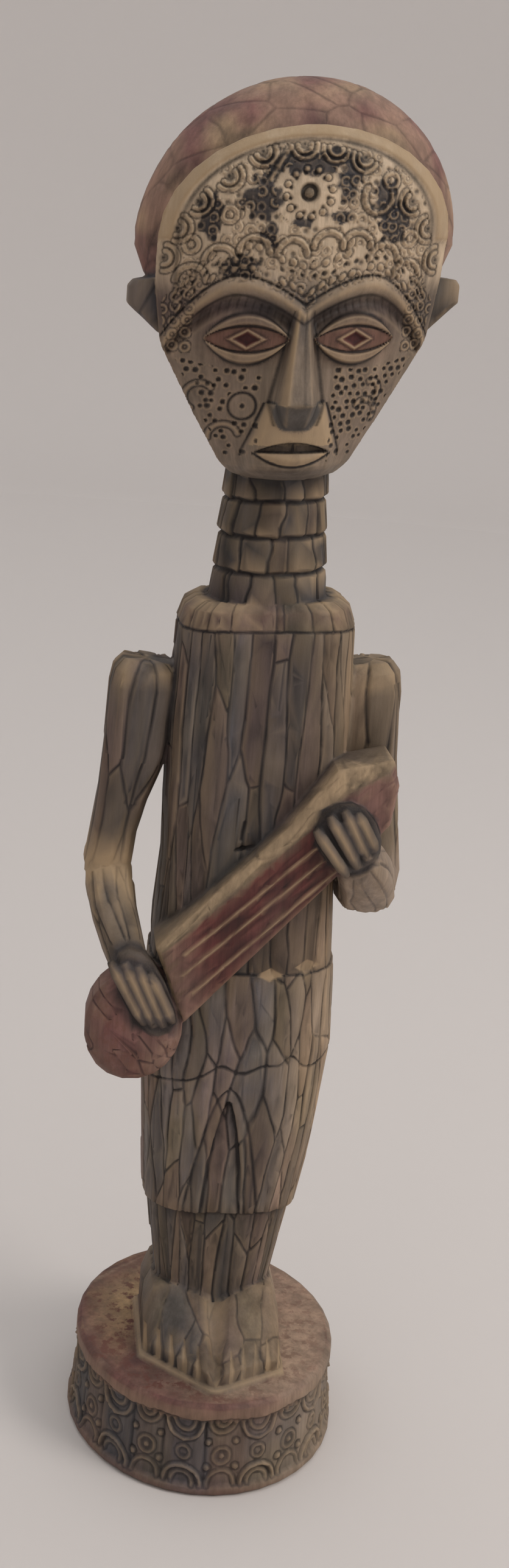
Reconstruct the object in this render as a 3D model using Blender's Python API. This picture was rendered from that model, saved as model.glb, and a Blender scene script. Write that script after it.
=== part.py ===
"""A wooden figure of a musician playing a long lute, carved in one piece with its round plinth.

Metres, +Z up. The figure faces -Y and +X is the viewer's right. The origin is the centre of the
plinth's underside. The figure is a free form: its sizes are shares of its own height, written as
the millimetres that they measure on the real figure, and at() turns them into metres.
"""
import math

import bmesh
import bpy
from mathutils import Vector

# Plinth
PLINTH_HEIGHT = 0.0385
PLINTH_HALF_WIDTH = 0.0500
PLINTH_HALF_DEPTH = 0.0549
PLINTH_TURN = math.radians(11)
PLINTH_FLARE = 0.0025
PLINTH_BAND = 0.0065
PLINTH_PANEL_RECESS = 0.0014
PLINTH_EDGE_ROUND = 0.0016
PLINTH_SIDES = 36
PLINTH_MOTIFS = 11
PLINTH_MOTIF_SHARE = 0.26
PLINTH_MOTIF_GAP = 0.0012
PLINTH_MOTIF_RADIUS = 0.0011

# Figure, above the plinth
FIGURE_HEIGHT = 0.4615
UNIT = FIGURE_HEIGHT / 461.5

# The block leans: level lines climb towards the viewer's right, more the higher they are
LEAN = 0.077
LEAN_FROM = 60.0
LEAN_SPAN = 300.0

# How deep the masses run into the plinth, each its own so that no two end in one plane
SINK = 3.0
FEET_SINK = 4.1
SOLE_SINK = 5.3

# Legs, skirt and torso: height, centre x, half width, half depth, corner power, front cleft
BODY_SIDES = 26
BODY = (
    (-SINK, 0.5, 22.6, 18.6, 2.6, 1.2),
    (27.0, 0.5, 22.7, 18.8, 2.6, 1.6),
    (45.0, 0.6, 25.2, 21.0, 2.7, 1.8),
    (61.0, 0.7, 27.6, 22.6, 2.8, 1.0),
    (62.0, 0.8, 29.8, 24.6, 2.8, 0.6),
    (80.0, 1.6, 31.8, 25.6, 2.8, 0.4),
    (104.0, 2.0, 33.6, 26.8, 2.9, 0.0),
    (129.0, 2.0, 35.4, 27.4, 3.0, 0.0),
    (160.0, 1.6, 34.0, 27.0, 3.2, 0.0),
    (161.0, 1.6, 33.2, 26.2, 3.2, 0.0),
    (176.0, 1.4, 32.5, 25.8, 3.3, 0.0),
    (198.0, 1.2, 31.0, 25.0, 3.3, 0.0),
    (220.0, 1.0, 31.6, 24.4, 3.4, 0.0),
    (250.0, 0.9, 32.0, 23.8, 3.5, 0.0),
    (284.0, 0.8, 30.8, 23.0, 3.4, 0.0),
    (290.5, 0.6, 28.6, 21.4, 3.2, 0.0),
    (293.0, 0.6, 24.8, 19.0, 2.8, 0.0),
)

# Neck: rings stacked like cups, each a little wider at its foot
NECK_SIDES = 18
NECK_BOTTOM = 290.0
NECK_JOINTS = (303.0, 315.2, 327.2)
NECK_TOP = 345.0
NECK_BOTTOM_RADIUS = 20.4
NECK_TOP_RADIUS = 16.4
NECK_GROOVE_DEPTH = 1.7
NECK_GROOVE_WIDTH = 2.2
NECK_FLARE = 0.4
NECK_TAPER = 0.9
NECK_X = 0.6
NECK_Y = 1.0

# Skull with its cap of hair
SKULL_SIDES = 24
SKULL_X = 0.8
SKULL_Y = 6.6
DOME_HEIGHT = 409.5
DOME_HALF_WIDTH = 53.0
DOME_HALF_DEPTH = 30.0
DOME_RISE = 52.0
DOME_RINGS = 7
NAPE = ((334.0, 14.0, 13.0), (350.0, 22.0, 17.0), (372.0, 33.6, 23.0), (390.0, 43.4, 27.5),
        (401.0, 49.6, 29.4))

# Face, a convex shield in front of the skull
FACE_X = 1.0
FACE_SIDE_TOP = 412.0
FACE_TOP = 445.5
FACE_OUTLINE = ((335.0, 12.0), (336.6, 17.5), (340.0, 21.6), (355.0, 30.6), (379.0, 43.8), (398.0, 46.6),
                (412.0, 46.8))
FACE_MIDDLE = ((335.0, -20.0), (337.5, -25.5), (341.0, -28.0), (350.0, -29.0), (372.0, -28.5),
               (392.0, -31.0), (405.0, -33.0), (425.0, -32.5), (437.0, -29.0), (445.5, -23.5))
FACE_EDGE = ((335.0, -12.0), (350.0, -10.0), (395.0, -10.0), (411.0, -13.5), (430.0, -18.5),
             (445.5, -23.0))
FACE_BACK = 6.0
FACE_COLUMNS = 26
FACE_ARC_ROWS = 7
FACE_ROW_STEPS = ((335.0, 2.0), (339.0, 1.7), (351.5, 2.4), (363.0, 4.0), (371.0, 2.2), (400.0, 4.0))
FACE_ROUNDNESS = 2.2

BAND_WIDTH = 3.4
BAND_RAISE = 1.3

BROW_V_HEIGHT = 386.0
BROW_PEAK_HEIGHT = 395.0
BROW_PEAK_X = 21.0
BROW_END_HEIGHT = 373.5
BROW_END_X = 45.0
BROW_WIDTH = 5.0
BROW_RAISE = 1.5
SOCKET_WIDTH = 4.6
SOCKET_DEPTH = 2.6

EYE_X = 17.3
EYE_HEIGHT = 381.0
EYE_HALF_LENGTH = 12.8
EYE_HALF_OPENING = 7.2
EYE_RAISE = 2.4
EYE_SLIT = 0.5
EYE_SLIT_DEPTH = 1.5
PUPIL_HALF = 2.4
PUPIL_RAISE = 1.2

NOSE_TOP = 390.0
NOSE_TIP_HEIGHT = 361.0
NOSE_FOOT_HEIGHT = 352.0
NOSE_TOP_HALF_WIDTH = 2.8
NOSE_TIP_HALF_WIDTH = 8.2
NOSE_TOP_RAISE = 1.0
NOSE_TIP_RAISE = 11.0
NOSE_FOOT_RAISE = 2.2

MUZZLE_BOTTOM = 338.5
MUZZLE_TOP_HALF_WIDTH = 9.5
MUZZLE_HALF_WIDTH = 15.0
MUZZLE_RAISE = 3.2
MOUTH_HALF_WIDTH = 12.2
MOUTH_TOP = 348.6
MOUTH_LINE = 345.4
MOUTH_BOTTOM = 341.2
MOUTH_DEPTH = 3.6
LIP_RAISE = 1.4

# Ears, small wedges that widen the head where the hair ends
EAR_TIP_X = 54.4
EAR_ROOT_X = 44.0
EAR_TOP = 398.5
EAR_BOTTOM = 381.5
EAR_FRONT = -8.0
EAR_BACK = 8.0

# Relief on the forehead
ROSETTE_X = -1.7
ROSETTE_HEIGHT = 425.2
ROSETTE_RADIUS = 6.9
ROSETTE_BEADS = 10
ROSETTE_BEAD_RADIUS = 1.25
ROSETTE_CUP_RADIUS = 3.1
ROSETTE_CUP_WALL = 0.9
ROSETTE_HEART_RADIUS = 1.2
BEAD_PROUD = 0.3
RIDGE_RADIUS = 0.95
RIDGE_ROOT = 2.6
SCALLOP_RADIUS = 4.9
SCALLOP_COUNT = 8
SCALLOP_REACH = 35.5
SCALLOP_MID_HEIGHT = 410.0
SCALLOP_DROP = 9.0
HANGING_COUNT = 8
HANGING_RADIUS = 4.3
HANGING_INSET = 9.5
HANGING_SPREAD = math.radians(66)

# Arms: stations of x, y, height, half width, half depth
ARM_SIDES = 10
ARM_POWER = 3.0
LEFT_UPPER_ARM = (
    (-39.2, 0.0, 270.2, 9.0, 8.8),
    (-39.6, 0.0, 267.0, 11.8, 11.8),
    (-40.0, 0.0, 261.0, 12.6, 13.2),
    (-41.8, 0.0, 238.0, 11.8, 12.8),
    (-45.4, 0.0, 221.0, 9.2, 11.6),
    (-47.8, 0.0, 208.0, 8.3, 10.8),
    (-49.2, -0.5, 195.0, 8.6, 10.4),
    (-49.0, -2.0, 185.0, 7.4, 9.0),
)
LEFT_FOREARM = (
    (-48.8, 2.0, 190.5, 7.6, 8.0),
    (-48.6, -4.0, 189.5, 8.6, 9.4),
    (-46.6, -14.0, 180.0, 8.0, 8.8),
    (-43.4, -24.0, 172.0, 7.4, 7.8),
    (-40.8, -32.0, 166.0, 6.6, 6.0),
)
RIGHT_UPPER_ARM = (
    (38.2, 0.0, 269.6, 8.6, 8.8),
    (38.4, 0.0, 266.4, 11.2, 11.8),
    (38.6, 0.0, 259.0, 12.0, 13.2),
    (40.4, 0.0, 234.0, 11.6, 12.8),
    (43.0, 0.0, 210.0, 12.0, 12.4),
    (45.2, -1.5, 192.0, 12.2, 12.0),
    (45.0, -3.0, 181.0, 10.4, 10.4),
    (44.5, -4.0, 177.0, 6.4, 7.0),
)
RIGHT_FOREARM = (
    (45.0, 0.0, 186.0, 9.4, 9.0),
    (44.4, -10.0, 189.0, 10.6, 10.4),
    (41.4, -22.0, 197.0, 9.6, 9.6),
    (38.0, -31.0, 203.5, 9.0, 8.4),
    (35.4, -35.4, 207.4, 7.6, 5.6),
)

# Hands: each finger's two ends as x and height, on an oval pad
LEFT_FINGERS = (((-48.0, 170.6), (-34.8, 146.4)), ((-43.2, 170.2), (-31.2, 145.6)),
                ((-38.6, 169.0), (-27.8, 145.6)), ((-34.2, 166.4), (-24.6, 147.0)))
LEFT_HAND_FRONT = -38.4
RIGHT_FINGERS = (((18.6, 220.2), (31.4, 203.0)), ((22.9, 225.2), (35.0, 206.0)),
                 ((27.7, 227.2), (38.0, 209.4)), ((32.4, 226.2), (40.4, 212.4)))
RIGHT_HAND_FRONT = -40.2
HAND_DEPTH = 7.0
HAND_EDGE = 1.6
HAND_SIDES = 14
FINGER_SIDES = 6
FINGER_RADIUS = 2.3
FINGER_SHAPE = ((0.0, 0.6), (0.2, 1.0), (0.8, 0.95), (1.0, 0.5))

# Instrument: the board runs up to the viewer's right across the body. Its outline is given by
# run and offset, each with how far the front face lies inside it
BOARD_MIDDLE = (3.15, 191.2)
BOARD_ANGLE = math.radians(48)
BOARD_BACK = -14.0
BOARD_FRONT = -36.6
BOARD_BEVEL_DEPTH = 3.2
BOARD_OUTLINE = (
    (-50.0, -13.2, 0.8, 1.2),
    (49.6, -12.8, -0.4, 1.2),
    (61.0, -4.8, -1.4, 0.8),
    (66.0, 3.2, -3.4, -0.8),
    (50.6, 15.0, -3.4, -7.6),
    (24.0, 12.8, 0.0, -4.8),
    (-37.0, 14.4, 0.8, -2.0),
)
BOWL_X = -38.2
BOWL_HEIGHT = 143.4
BOWL_HALF_WIDTH = 17.4
BOWL_HALF_HEIGHT = 21.0
BOWL_SIDES = 20
BOWL_PROFILE = ((-37.4, 0.70), (-36.2, 0.88), (-33.0, 1.0), (-22.0, 0.98), (-12.0, 0.80), (-6.0, 0.45))
STRING_RADIUS = 1.2
STRINGS = (((-30.6, 6.2), (31.0, 0.9)), ((-37.0, 1.3), (30.0, -4.2)), ((-39.8, -6.1), (29.0, -10.1)))

# Feet and toes
FEET_HALF_WIDTH = 26.0
FEET_HEEL = 13.0
FEET_INSTEP_Y = -17.0
FEET_TIP = -46.0
FEET_LEFT_SWEEP = 0.92
FEET_RIGHT_SWEEP = 0.48
TOE_HEIGHT = 7.0
INSTEP_HEIGHT = 27.0
FEET_COLUMNS = 18
FEET_ROWS = 6
VALLEY_HALF_WIDTH = 8.0
VALLEY_DEPTH = 4.2
SOLE_STEP = 4.5
SOLE_HEIGHT = 1.8
TOE_NOTCH_WIDTH = 1.3
TOE_NOTCH_LENGTH = 9.0
TOE_NOTCH_TOP = 13.0
TOES_PER_FOOT = 5

# Cutters start this far in front of the body
CUTTER_FRONT = -34.0

# Arch cut between the thighs
ARCH_X = -1.0
ARCH_TOP = 110.0
ARCH_BOTTOM = 58.0
ARCH_HALF_WIDTH = 8.5
ARCH_DEPTH = 2.2
ARCH_SHOULDER = 0.78
ARCH_SHOULDER_RISE = 0.45
ARCH_TIP_HALF_WIDTH = 0.8

# Navel
NAVEL_X = -3.4
NAVEL_HEIGHT = 207.5
NAVEL_HALF_WIDTH = 3.6
NAVEL_CUT = 2.2
NAVEL_MOUTH = 1.6
NAVEL_FLOOR = 0.3


def lean(height):
    share = min(1.0, max(0.0, (height - LEAN_FROM) / LEAN_SPAN))
    return LEAN * share


def at(x, y, height):
    """A point of the figure, height measured from the plinth's top."""
    return Vector((x * UNIT, y * UNIT, PLINTH_HEIGHT + (height + x * lean(height)) * UNIT))


def ramp(low, high, value):
    share = min(1.0, max(0.0, (value - low) / (high - low)))
    return share * share * (3.0 - 2.0 * share)


def hill(distance, reach):
    return 1.0 - ramp(0.0, reach, abs(distance))


def along(table, value):
    """Straight-line interpolation in a table of pairs."""
    if value <= table[0][0]:
        return table[0][1]
    for (low, start), (high, end) in zip(table, table[1:]):
        if value <= high:
            return start + (end - start) * (value - low) / (high - low)
    return table[-1][1]


def new_collection(name):
    collection = bpy.data.collections.new(name)
    bpy.context.scene.collection.children.link(collection)
    return collection


def solid(name, points, faces, collection):
    """A closed mesh with its faces pointing out."""
    mesh = bpy.data.meshes.new(name)
    mesh.from_pydata(points, [], faces)
    body = bmesh.new()
    body.from_mesh(mesh)
    bmesh.ops.recalc_face_normals(body, faces=body.faces)
    body.to_mesh(mesh)
    body.free()
    shape = bpy.data.objects.new(name, mesh)
    collection.objects.link(shape)
    return shape


def loft(name, rings, collection):
    """Skin rings of equal length, and close both ends with a fan."""
    sides = len(rings[0])
    points = [point for ring in rings for point in ring]
    faces = []
    for row in range(len(rings) - 1):
        for side in range(sides):
            after = (side + 1) % sides
            low = row * sides
            high = low + sides
            faces.append((low + side, low + after, high + after, high + side))
    for row in (0, len(rings) - 1):
        middle = sum(rings[row], Vector()) / sides
        points.append(middle)
        start = row * sides
        faces += [(start + side, start + (side + 1) % sides, len(points) - 1) for side in range(sides)]
    return solid(name, points, faces, collection)


def curve_part(value, power):
    return math.copysign(abs(value) ** (2.0 / power), value)


def oval(half_width, half_depth, power, sides):
    """Points of a superellipse round the origin, as pairs."""
    pairs = []
    for side in range(sides):
        angle = 2.0 * math.pi * (side + 0.5) / sides
        pairs.append((half_width * curve_part(math.cos(angle), power),
                      half_depth * curve_part(math.sin(angle), power)))
    return pairs


def body_ring(height, x, half_width, half_depth, power, cleft):
    ring = []
    for dx, dy in oval(half_width, half_depth, power, BODY_SIDES):
        inward = cleft * hill(dx, VALLEY_HALF_WIDTH) if dy < 0 else 0.0
        ring.append(at(x + dx, dy + inward, height))
    return ring


def make_body(collection):
    return loft("legs_skirt_torso", [body_ring(*station) for station in BODY], collection)


def make_neck(collection):
    levels = [NECK_BOTTOM, *NECK_JOINTS, NECK_TOP]
    half = NECK_GROOVE_WIDTH / 2
    profile = []
    for low, high in zip(levels, levels[1:]):
        share = (low - NECK_BOTTOM) / (NECK_TOP - NECK_BOTTOM)
        radius = NECK_BOTTOM_RADIUS + (NECK_TOP_RADIUS - NECK_BOTTOM_RADIUS) * share
        profile += [(low, radius - NECK_GROOVE_DEPTH), (low + half, radius + NECK_FLARE),
                    (high - half, radius - NECK_TAPER)]
    profile.append((NECK_TOP, NECK_TOP_RADIUS - NECK_GROOVE_DEPTH))
    rings = [[at(NECK_X + dx, NECK_Y + dy, height) for dx, dy in oval(radius, radius, 2.2, NECK_SIDES)]
             for height, radius in profile]
    loft("neck", rings, collection)


def make_skull(collection):
    stations = [(height, width, depth) for height, width, depth in NAPE]
    for row in range(DOME_RINGS):
        angle = math.radians(88) * row / (DOME_RINGS - 1)
        stations.append((DOME_HEIGHT + DOME_RISE * math.sin(angle), DOME_HALF_WIDTH * math.cos(angle),
                         DOME_HALF_DEPTH * math.cos(angle)))
    rings = [[at(SKULL_X + dx, SKULL_Y + dy, height) for dx, dy in oval(width, depth, 2.0, SKULL_SIDES)]
             for height, width, depth in stations]
    loft("skull", rings, collection)


def face_half_width(height):
    if height <= FACE_SIDE_TOP:
        return along(FACE_OUTLINE, height)
    share = (height - FACE_SIDE_TOP) / (FACE_TOP - FACE_SIDE_TOP)
    return FACE_OUTLINE[-1][1] * math.sqrt(max(0.0, 1.0 - share * share))


def brow_height(across):
    """Lower edge of the brow band, across being the distance from the face's middle."""
    if across < BROW_PEAK_X:
        share = (BROW_PEAK_X - across) / BROW_PEAK_X
        return BROW_PEAK_HEIGHT - (BROW_PEAK_HEIGHT - BROW_V_HEIGHT) * share ** 1.7
    share = (across - BROW_PEAK_X) / (BROW_END_X - BROW_PEAK_X)
    return BROW_PEAK_HEIGHT - (BROW_PEAK_HEIGHT - BROW_END_HEIGHT) * share ** 1.8


def brow_relief(across, height):
    below = brow_height(across) - height
    fade = 1.0 - ramp(BROW_END_X - 3.0, BROW_END_X, across)
    band = BROW_RAISE * hill(below + BROW_WIDTH / 2, BROW_WIDTH / 2 + 1.0)
    socket = SOCKET_DEPTH * hill(below - SOCKET_WIDTH * 0.6, SOCKET_WIDTH * 0.8) * ramp(2.0, 5.0, across)
    return (band - socket) * fade


def eye_relief(across, height):
    along_eye = (across - EYE_X) / EYE_HALF_LENGTH
    opening = EYE_HALF_OPENING * max(0.0, 1.0 - along_eye * along_eye)
    if opening <= 0.0:
        return 0.0
    share = abs(height - EYE_HEIGHT) / opening
    lid = EYE_RAISE * (1.0 - ramp(0.72, 1.05, share))
    slit = EYE_SLIT_DEPTH * (1.0 - ramp(EYE_SLIT * 0.6, EYE_SLIT * 1.15, share))
    pupil = PUPIL_RAISE * hill(abs(across - EYE_X) + abs(height - EYE_HEIGHT), PUPIL_HALF * 1.5)
    return lid - slit + pupil


def nose_relief(across, height):
    if height > NOSE_TIP_HEIGHT:
        share = min(1.0, max(0.0, (NOSE_TOP - height) / (NOSE_TOP - NOSE_TIP_HEIGHT)))
        raise_by = NOSE_TOP_RAISE + (NOSE_TIP_RAISE - NOSE_TOP_RAISE) * share ** 1.15
        raise_by *= ramp(NOSE_TOP + 2.0, NOSE_TOP - 3.0, height) if height > NOSE_TOP - 3.0 else 1.0
        half_width = NOSE_TOP_HALF_WIDTH + (NOSE_TIP_HALF_WIDTH - NOSE_TOP_HALF_WIDTH) * share
    else:
        share = max(0.0, (height - NOSE_FOOT_HEIGHT) / (NOSE_TIP_HEIGHT - NOSE_FOOT_HEIGHT))
        raise_by = NOSE_TIP_RAISE * share + NOSE_FOOT_RAISE * (1.0 - share) if share > 0.0 else 0.0
        half_width = NOSE_TIP_HALF_WIDTH * (0.55 + 0.45 * math.sqrt(share))
    return raise_by * (1.0 - ramp(0.45, 1.0, across / half_width))


def muzzle_relief(across, height):
    if height > NOSE_TIP_HEIGHT or height < MUZZLE_BOTTOM - 2.0:
        return 0.0
    share = min(1.0, (NOSE_TIP_HEIGHT - height) / (NOSE_TIP_HEIGHT - MOUTH_LINE))
    half_width = MUZZLE_TOP_HALF_WIDTH + (MUZZLE_HALF_WIDTH - MUZZLE_TOP_HALF_WIDTH) * share
    fade = ramp(MUZZLE_BOTTOM - 2.0, MUZZLE_BOTTOM + 1.5, height)
    return MUZZLE_RAISE * (1.0 - ramp(0.75, 1.1, across / half_width)) * fade


def mouth_relief(across, height):
    lens = max(0.0, 1.0 - (across / MOUTH_HALF_WIDTH) ** 2)
    if lens <= 0.0:
        return 0.0
    top = MOUTH_LINE + (MOUTH_TOP - MOUTH_LINE) * lens
    bottom = MOUTH_LINE - (MOUTH_LINE - MOUTH_BOTTOM) * lens
    if MOUTH_LINE <= height <= top:
        return -MOUTH_DEPTH * min(1.0, lens * 2.0)
    if bottom <= height < MOUTH_LINE:
        return LIP_RAISE * lens - MOUTH_DEPTH * 0.5 * ramp(MOUTH_LINE - 1.6, MOUTH_LINE, height)
    return 0.0


def band_relief(x, height):
    """The raised band along the face's upper edge."""
    if height < FACE_SIDE_TOP - 2.0:
        return 0.0
    rise = max(0.0, height - FACE_SIDE_TOP) / (FACE_TOP - FACE_SIDE_TOP)
    out = math.hypot(x / FACE_OUTLINE[-1][1], rise)
    inside = (1.0 - out) * (FACE_TOP - FACE_SIDE_TOP)
    return BAND_RAISE * (1.0 - ramp(BAND_WIDTH * 0.8, BAND_WIDTH * 1.3, inside))


def face_front(x, height):
    """How far forward the face's surface lies, x being measured from the face's middle."""
    across = abs(x)
    share = min(1.0, across / max(face_half_width(height), 0.5))
    middle = along(FACE_MIDDLE, height)
    edge = along(FACE_EDGE, height)
    base = edge + (middle - edge) * (1.0 - share ** FACE_ROUNDNESS)
    relief = brow_relief(across, height) + eye_relief(across, height) + band_relief(x, height)
    relief += max(nose_relief(across, height), muzzle_relief(across, height))
    relief += mouth_relief(across, height)
    return base - relief * (1.0 - ramp(0.97, 1.0, share) * (height < FACE_SIDE_TOP))


def face_rows():
    rows = []
    limits = [start for start, _ in FACE_ROW_STEPS] + [FACE_SIDE_TOP]
    for (start, step), end in zip(FACE_ROW_STEPS, limits[1:]):
        count = max(1, round((end - start) / step))
        rows += [start + (end - start) * part / count for part in range(count)]
    for part in range(FACE_ARC_ROWS + 1):
        angle = math.radians(86) * part / FACE_ARC_ROWS
        rows.append(FACE_SIDE_TOP + (FACE_TOP - FACE_SIDE_TOP) * math.sin(angle))
    return rows


def make_face(collection):
    """Rows of points across the face, each closed by two points at its back."""
    rings = []
    for height in face_rows():
        half_width = face_half_width(height)
        ring = []
        for column in range(FACE_COLUMNS + 1):
            share = 2.0 * column / FACE_COLUMNS - 1.0
            x = half_width * share * (0.72 + 0.28 * share * share)
            ring.append(at(FACE_X + x, face_front(x, height), height))
        ring.append(at(FACE_X + half_width * 0.8, FACE_BACK, height))
        ring.append(at(FACE_X - half_width * 0.8, FACE_BACK, height))
        rings.append(ring)
    loft("face", rings, collection)


def make_ear(side, collection):
    middle = (EAR_TOP + EAR_BOTTOM) / 2
    outline = ((EAR_ROOT_X, EAR_TOP + 1.0), (EAR_TIP_X - 1.5, EAR_TOP), (EAR_TIP_X, EAR_TOP - 2.0),
               (EAR_TIP_X, middle + 1.0), (EAR_ROOT_X, EAR_BOTTOM))
    rings = []
    for y, shrink in ((EAR_FRONT, 1.6), (EAR_FRONT + 2.0, 0.0), (EAR_BACK, 0.0)):
        ring = []
        for x, height in outline:
            reach = x - shrink if x > EAR_ROOT_X else x
            ring.append(at(FACE_X + side * reach, y, height))
        rings.append(ring)
    loft("ear", rings, collection)


def on_face(x, height, proud=0.0):
    return (FACE_X + x, face_front(x, height) - proud, height)


def tube(name, stations, sides, collection):
    """A limb along stations of x, y, height, half width, half depth."""
    centres = [Vector(station[:3]) for station in stations]
    rings = []
    for place, (x, y, height, half_width, half_depth) in enumerate(stations):
        before = centres[max(0, place - 1)]
        after = centres[min(len(centres) - 1, place + 1)]
        course = (after - before).normalized()
        across = Vector((1.0, 0.0, 0.0))
        if abs(course.x) > 0.8:
            across = Vector((0.0, 0.0, 1.0))
        across = (across - course * across.dot(course)).normalized()
        upright = course.cross(across)
        ring = []
        for dx, dy in oval(half_width, half_depth, ARM_POWER, sides):
            point = centres[place] + across * dx + upright * dy
            ring.append(at(*point))
        rings.append(ring)
    return loft(name, rings, collection)


def ridge(name, points, radius, collection):
    """A thin raised line facing forward, three-sided and tapered at both ends."""
    forward = Vector((0.0, -1.0, 0.0))
    centres = [Vector(point) for point in points]
    last = len(centres) - 1
    rings = []
    for place, centre in enumerate(centres):
        size = radius * (0.5 if place in (0, last) else 1.0)
        course = centres[min(last, place + 1)] - centres[max(0, place - 1)]
        across = course.cross(forward).normalized() * size
        foot = centre - forward * radius * RIDGE_ROOT
        rings.append([at(*(centre + forward * size)), at(*(foot + across)), at(*(foot - across))])
    return loft(name, rings, collection)


def bead(name, centre, radius, collection):
    mesh = bpy.data.meshes.new(name)
    body = bmesh.new()
    bmesh.ops.create_icosphere(body, subdivisions=1, radius=radius * UNIT)
    bmesh.ops.translate(body, verts=body.verts, vec=at(*centre))
    body.to_mesh(mesh)
    body.free()
    shape = bpy.data.objects.new(name, mesh)
    collection.objects.link(shape)


def face_arc(x, height, radius, start, end, steps=5):
    """Points of an arc on the face round a centre, angles measured from straight right."""
    points = []
    for step in range(steps + 1):
        angle = start + (end - start) * step / steps
        points.append(on_face(x + radius * math.cos(angle), height + radius * math.sin(angle)))
    return points


def make_forehead(collection):
    for place in range(ROSETTE_BEADS):
        angle = 2.0 * math.pi * place / ROSETTE_BEADS
        x = ROSETTE_X + ROSETTE_RADIUS * math.cos(angle)
        height = ROSETTE_HEIGHT + ROSETTE_RADIUS * math.sin(angle)
        bead("rosette_bead", on_face(x, height, BEAD_PROUD), ROSETTE_BEAD_RADIUS, collection)
    for start in (0.0, math.pi):
        ring = face_arc(ROSETTE_X, ROSETTE_HEIGHT, ROSETTE_CUP_RADIUS, start - 0.15, start + math.pi + 0.15)
        ridge("rosette_cup", ring, ROSETTE_CUP_WALL, collection)
    heart = on_face(ROSETTE_X, ROSETTE_HEIGHT, BEAD_PROUD)
    bead("rosette_heart", heart, ROSETTE_HEART_RADIUS, collection)
    for place in range(SCALLOP_COUNT):
        share = 2.0 * place / (SCALLOP_COUNT - 1) - 1.0
        height = SCALLOP_MID_HEIGHT - SCALLOP_DROP * share * share
        arch = face_arc(SCALLOP_REACH * share, height, SCALLOP_RADIUS, -0.1, math.pi + 0.1)
        ridge("scallop", arch, RIDGE_RADIUS, collection)
    for place in range(HANGING_COUNT):
        turn = math.pi / 2 + HANGING_SPREAD * (1.0 - 2.0 * place / (HANGING_COUNT - 1))
        out_x = FACE_OUTLINE[-1][1] - HANGING_INSET
        out_height = FACE_TOP - FACE_SIDE_TOP - HANGING_INSET + 3.0
        x = out_x * math.cos(turn)
        height = FACE_SIDE_TOP + out_height * math.sin(turn)
        arc = face_arc(x, height, HANGING_RADIUS, turn + math.pi / 2, turn + 3 * math.pi / 2, 4)
        ridge("hanging", arc, RIDGE_RADIUS, collection)


def make_hand(fingers, front, collection):
    """An oval pad with the fingers lying over it, all facing forward."""
    starts = [Vector((x, height)) for (x, height), _ in fingers]
    ends = [Vector((x, height)) for _, (x, height) in fingers]
    middle = sum(starts + ends, Vector((0.0, 0.0))) / (2 * len(fingers))
    lengthwise = (sum(ends, Vector((0.0, 0.0))) - sum(starts, Vector((0.0, 0.0)))).normalized()
    sideways = Vector((-lengthwise.y, lengthwise.x))
    half_length = max(abs((end - middle).dot(lengthwise)) for end in starts + ends) + FINGER_RADIUS / 2
    half_width = max(abs((end - middle).dot(sideways)) for end in starts + ends) + FINGER_RADIUS
    rings = []
    for y, inset in ((front + HAND_DEPTH, 0.0), (front + HAND_EDGE, 0.0), (front, HAND_EDGE)):
        ring = []
        for dx, dy in oval(half_length - inset, half_width - inset, 2.3, HAND_SIDES):
            point = middle + lengthwise * dx + sideways * dy
            ring.append(at(point.x, y, point.y))
        rings.append(ring)
    loft("hand", rings, collection)
    for start, end in zip(starts, ends):
        stations = []
        for share, size in FINGER_SHAPE:
            point = start.lerp(end, share)
            stations.append((point.x, front, point.y, FINGER_RADIUS * size, FINGER_RADIUS * size))
        tube("finger", stations, FINGER_SIDES, collection)


def make_arms(collection):
    tube("left_upper_arm", LEFT_UPPER_ARM, ARM_SIDES, collection)
    tube("left_forearm", LEFT_FOREARM, ARM_SIDES, collection)
    tube("right_upper_arm", RIGHT_UPPER_ARM, ARM_SIDES, collection)
    tube("right_forearm", RIGHT_FOREARM, ARM_SIDES, collection)


def make_hands(collection):
    make_hand(LEFT_FINGERS, LEFT_HAND_FRONT, collection)
    make_hand(RIGHT_FINGERS, RIGHT_HAND_FRONT, collection)


def on_board(run, offset, y):
    """A point of the instrument: run along the board, offset across it."""
    cosine = math.cos(BOARD_ANGLE)
    sine = math.sin(BOARD_ANGLE)
    x = BOARD_MIDDLE[0] + run * cosine - offset * sine
    height = BOARD_MIDDLE[1] + run * sine + offset * cosine
    return (x, y, height)


def make_instrument(collection):
    edge = BOARD_FRONT + BOARD_BEVEL_DEPTH
    rings = []
    for y in (BOARD_BACK, edge):
        rings.append([at(*on_board(run, offset, y)) for run, offset, _, _ in BOARD_OUTLINE])
    rings.append([at(*on_board(run + along_in, offset + across_in, BOARD_FRONT))
                  for run, offset, along_in, across_in in BOARD_OUTLINE])
    loft("board", rings, collection)
    bowl = []
    for y, share in BOWL_PROFILE:
        pairs = oval(BOWL_HALF_WIDTH * share, BOWL_HALF_HEIGHT * share, 2.1, BOWL_SIDES)
        bowl.append([at(BOWL_X + dx, y, BOWL_HEIGHT + dz) for dx, dz in pairs])
    loft("bowl", bowl, collection)
    for ends in STRINGS:
        start, end = (Vector(on_board(run, offset, BOARD_FRONT)) for run, offset in ends)
        points = [start, start.lerp(end, 0.04), start.lerp(end, 0.96), end]
        ridge("string", points, STRING_RADIUS, collection)


def feet_front(x):
    sweep = FEET_LEFT_SWEEP if x < 0 else FEET_RIGHT_SWEEP
    return FEET_TIP + sweep * max(0.0, abs(x) - 1.5)


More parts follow.
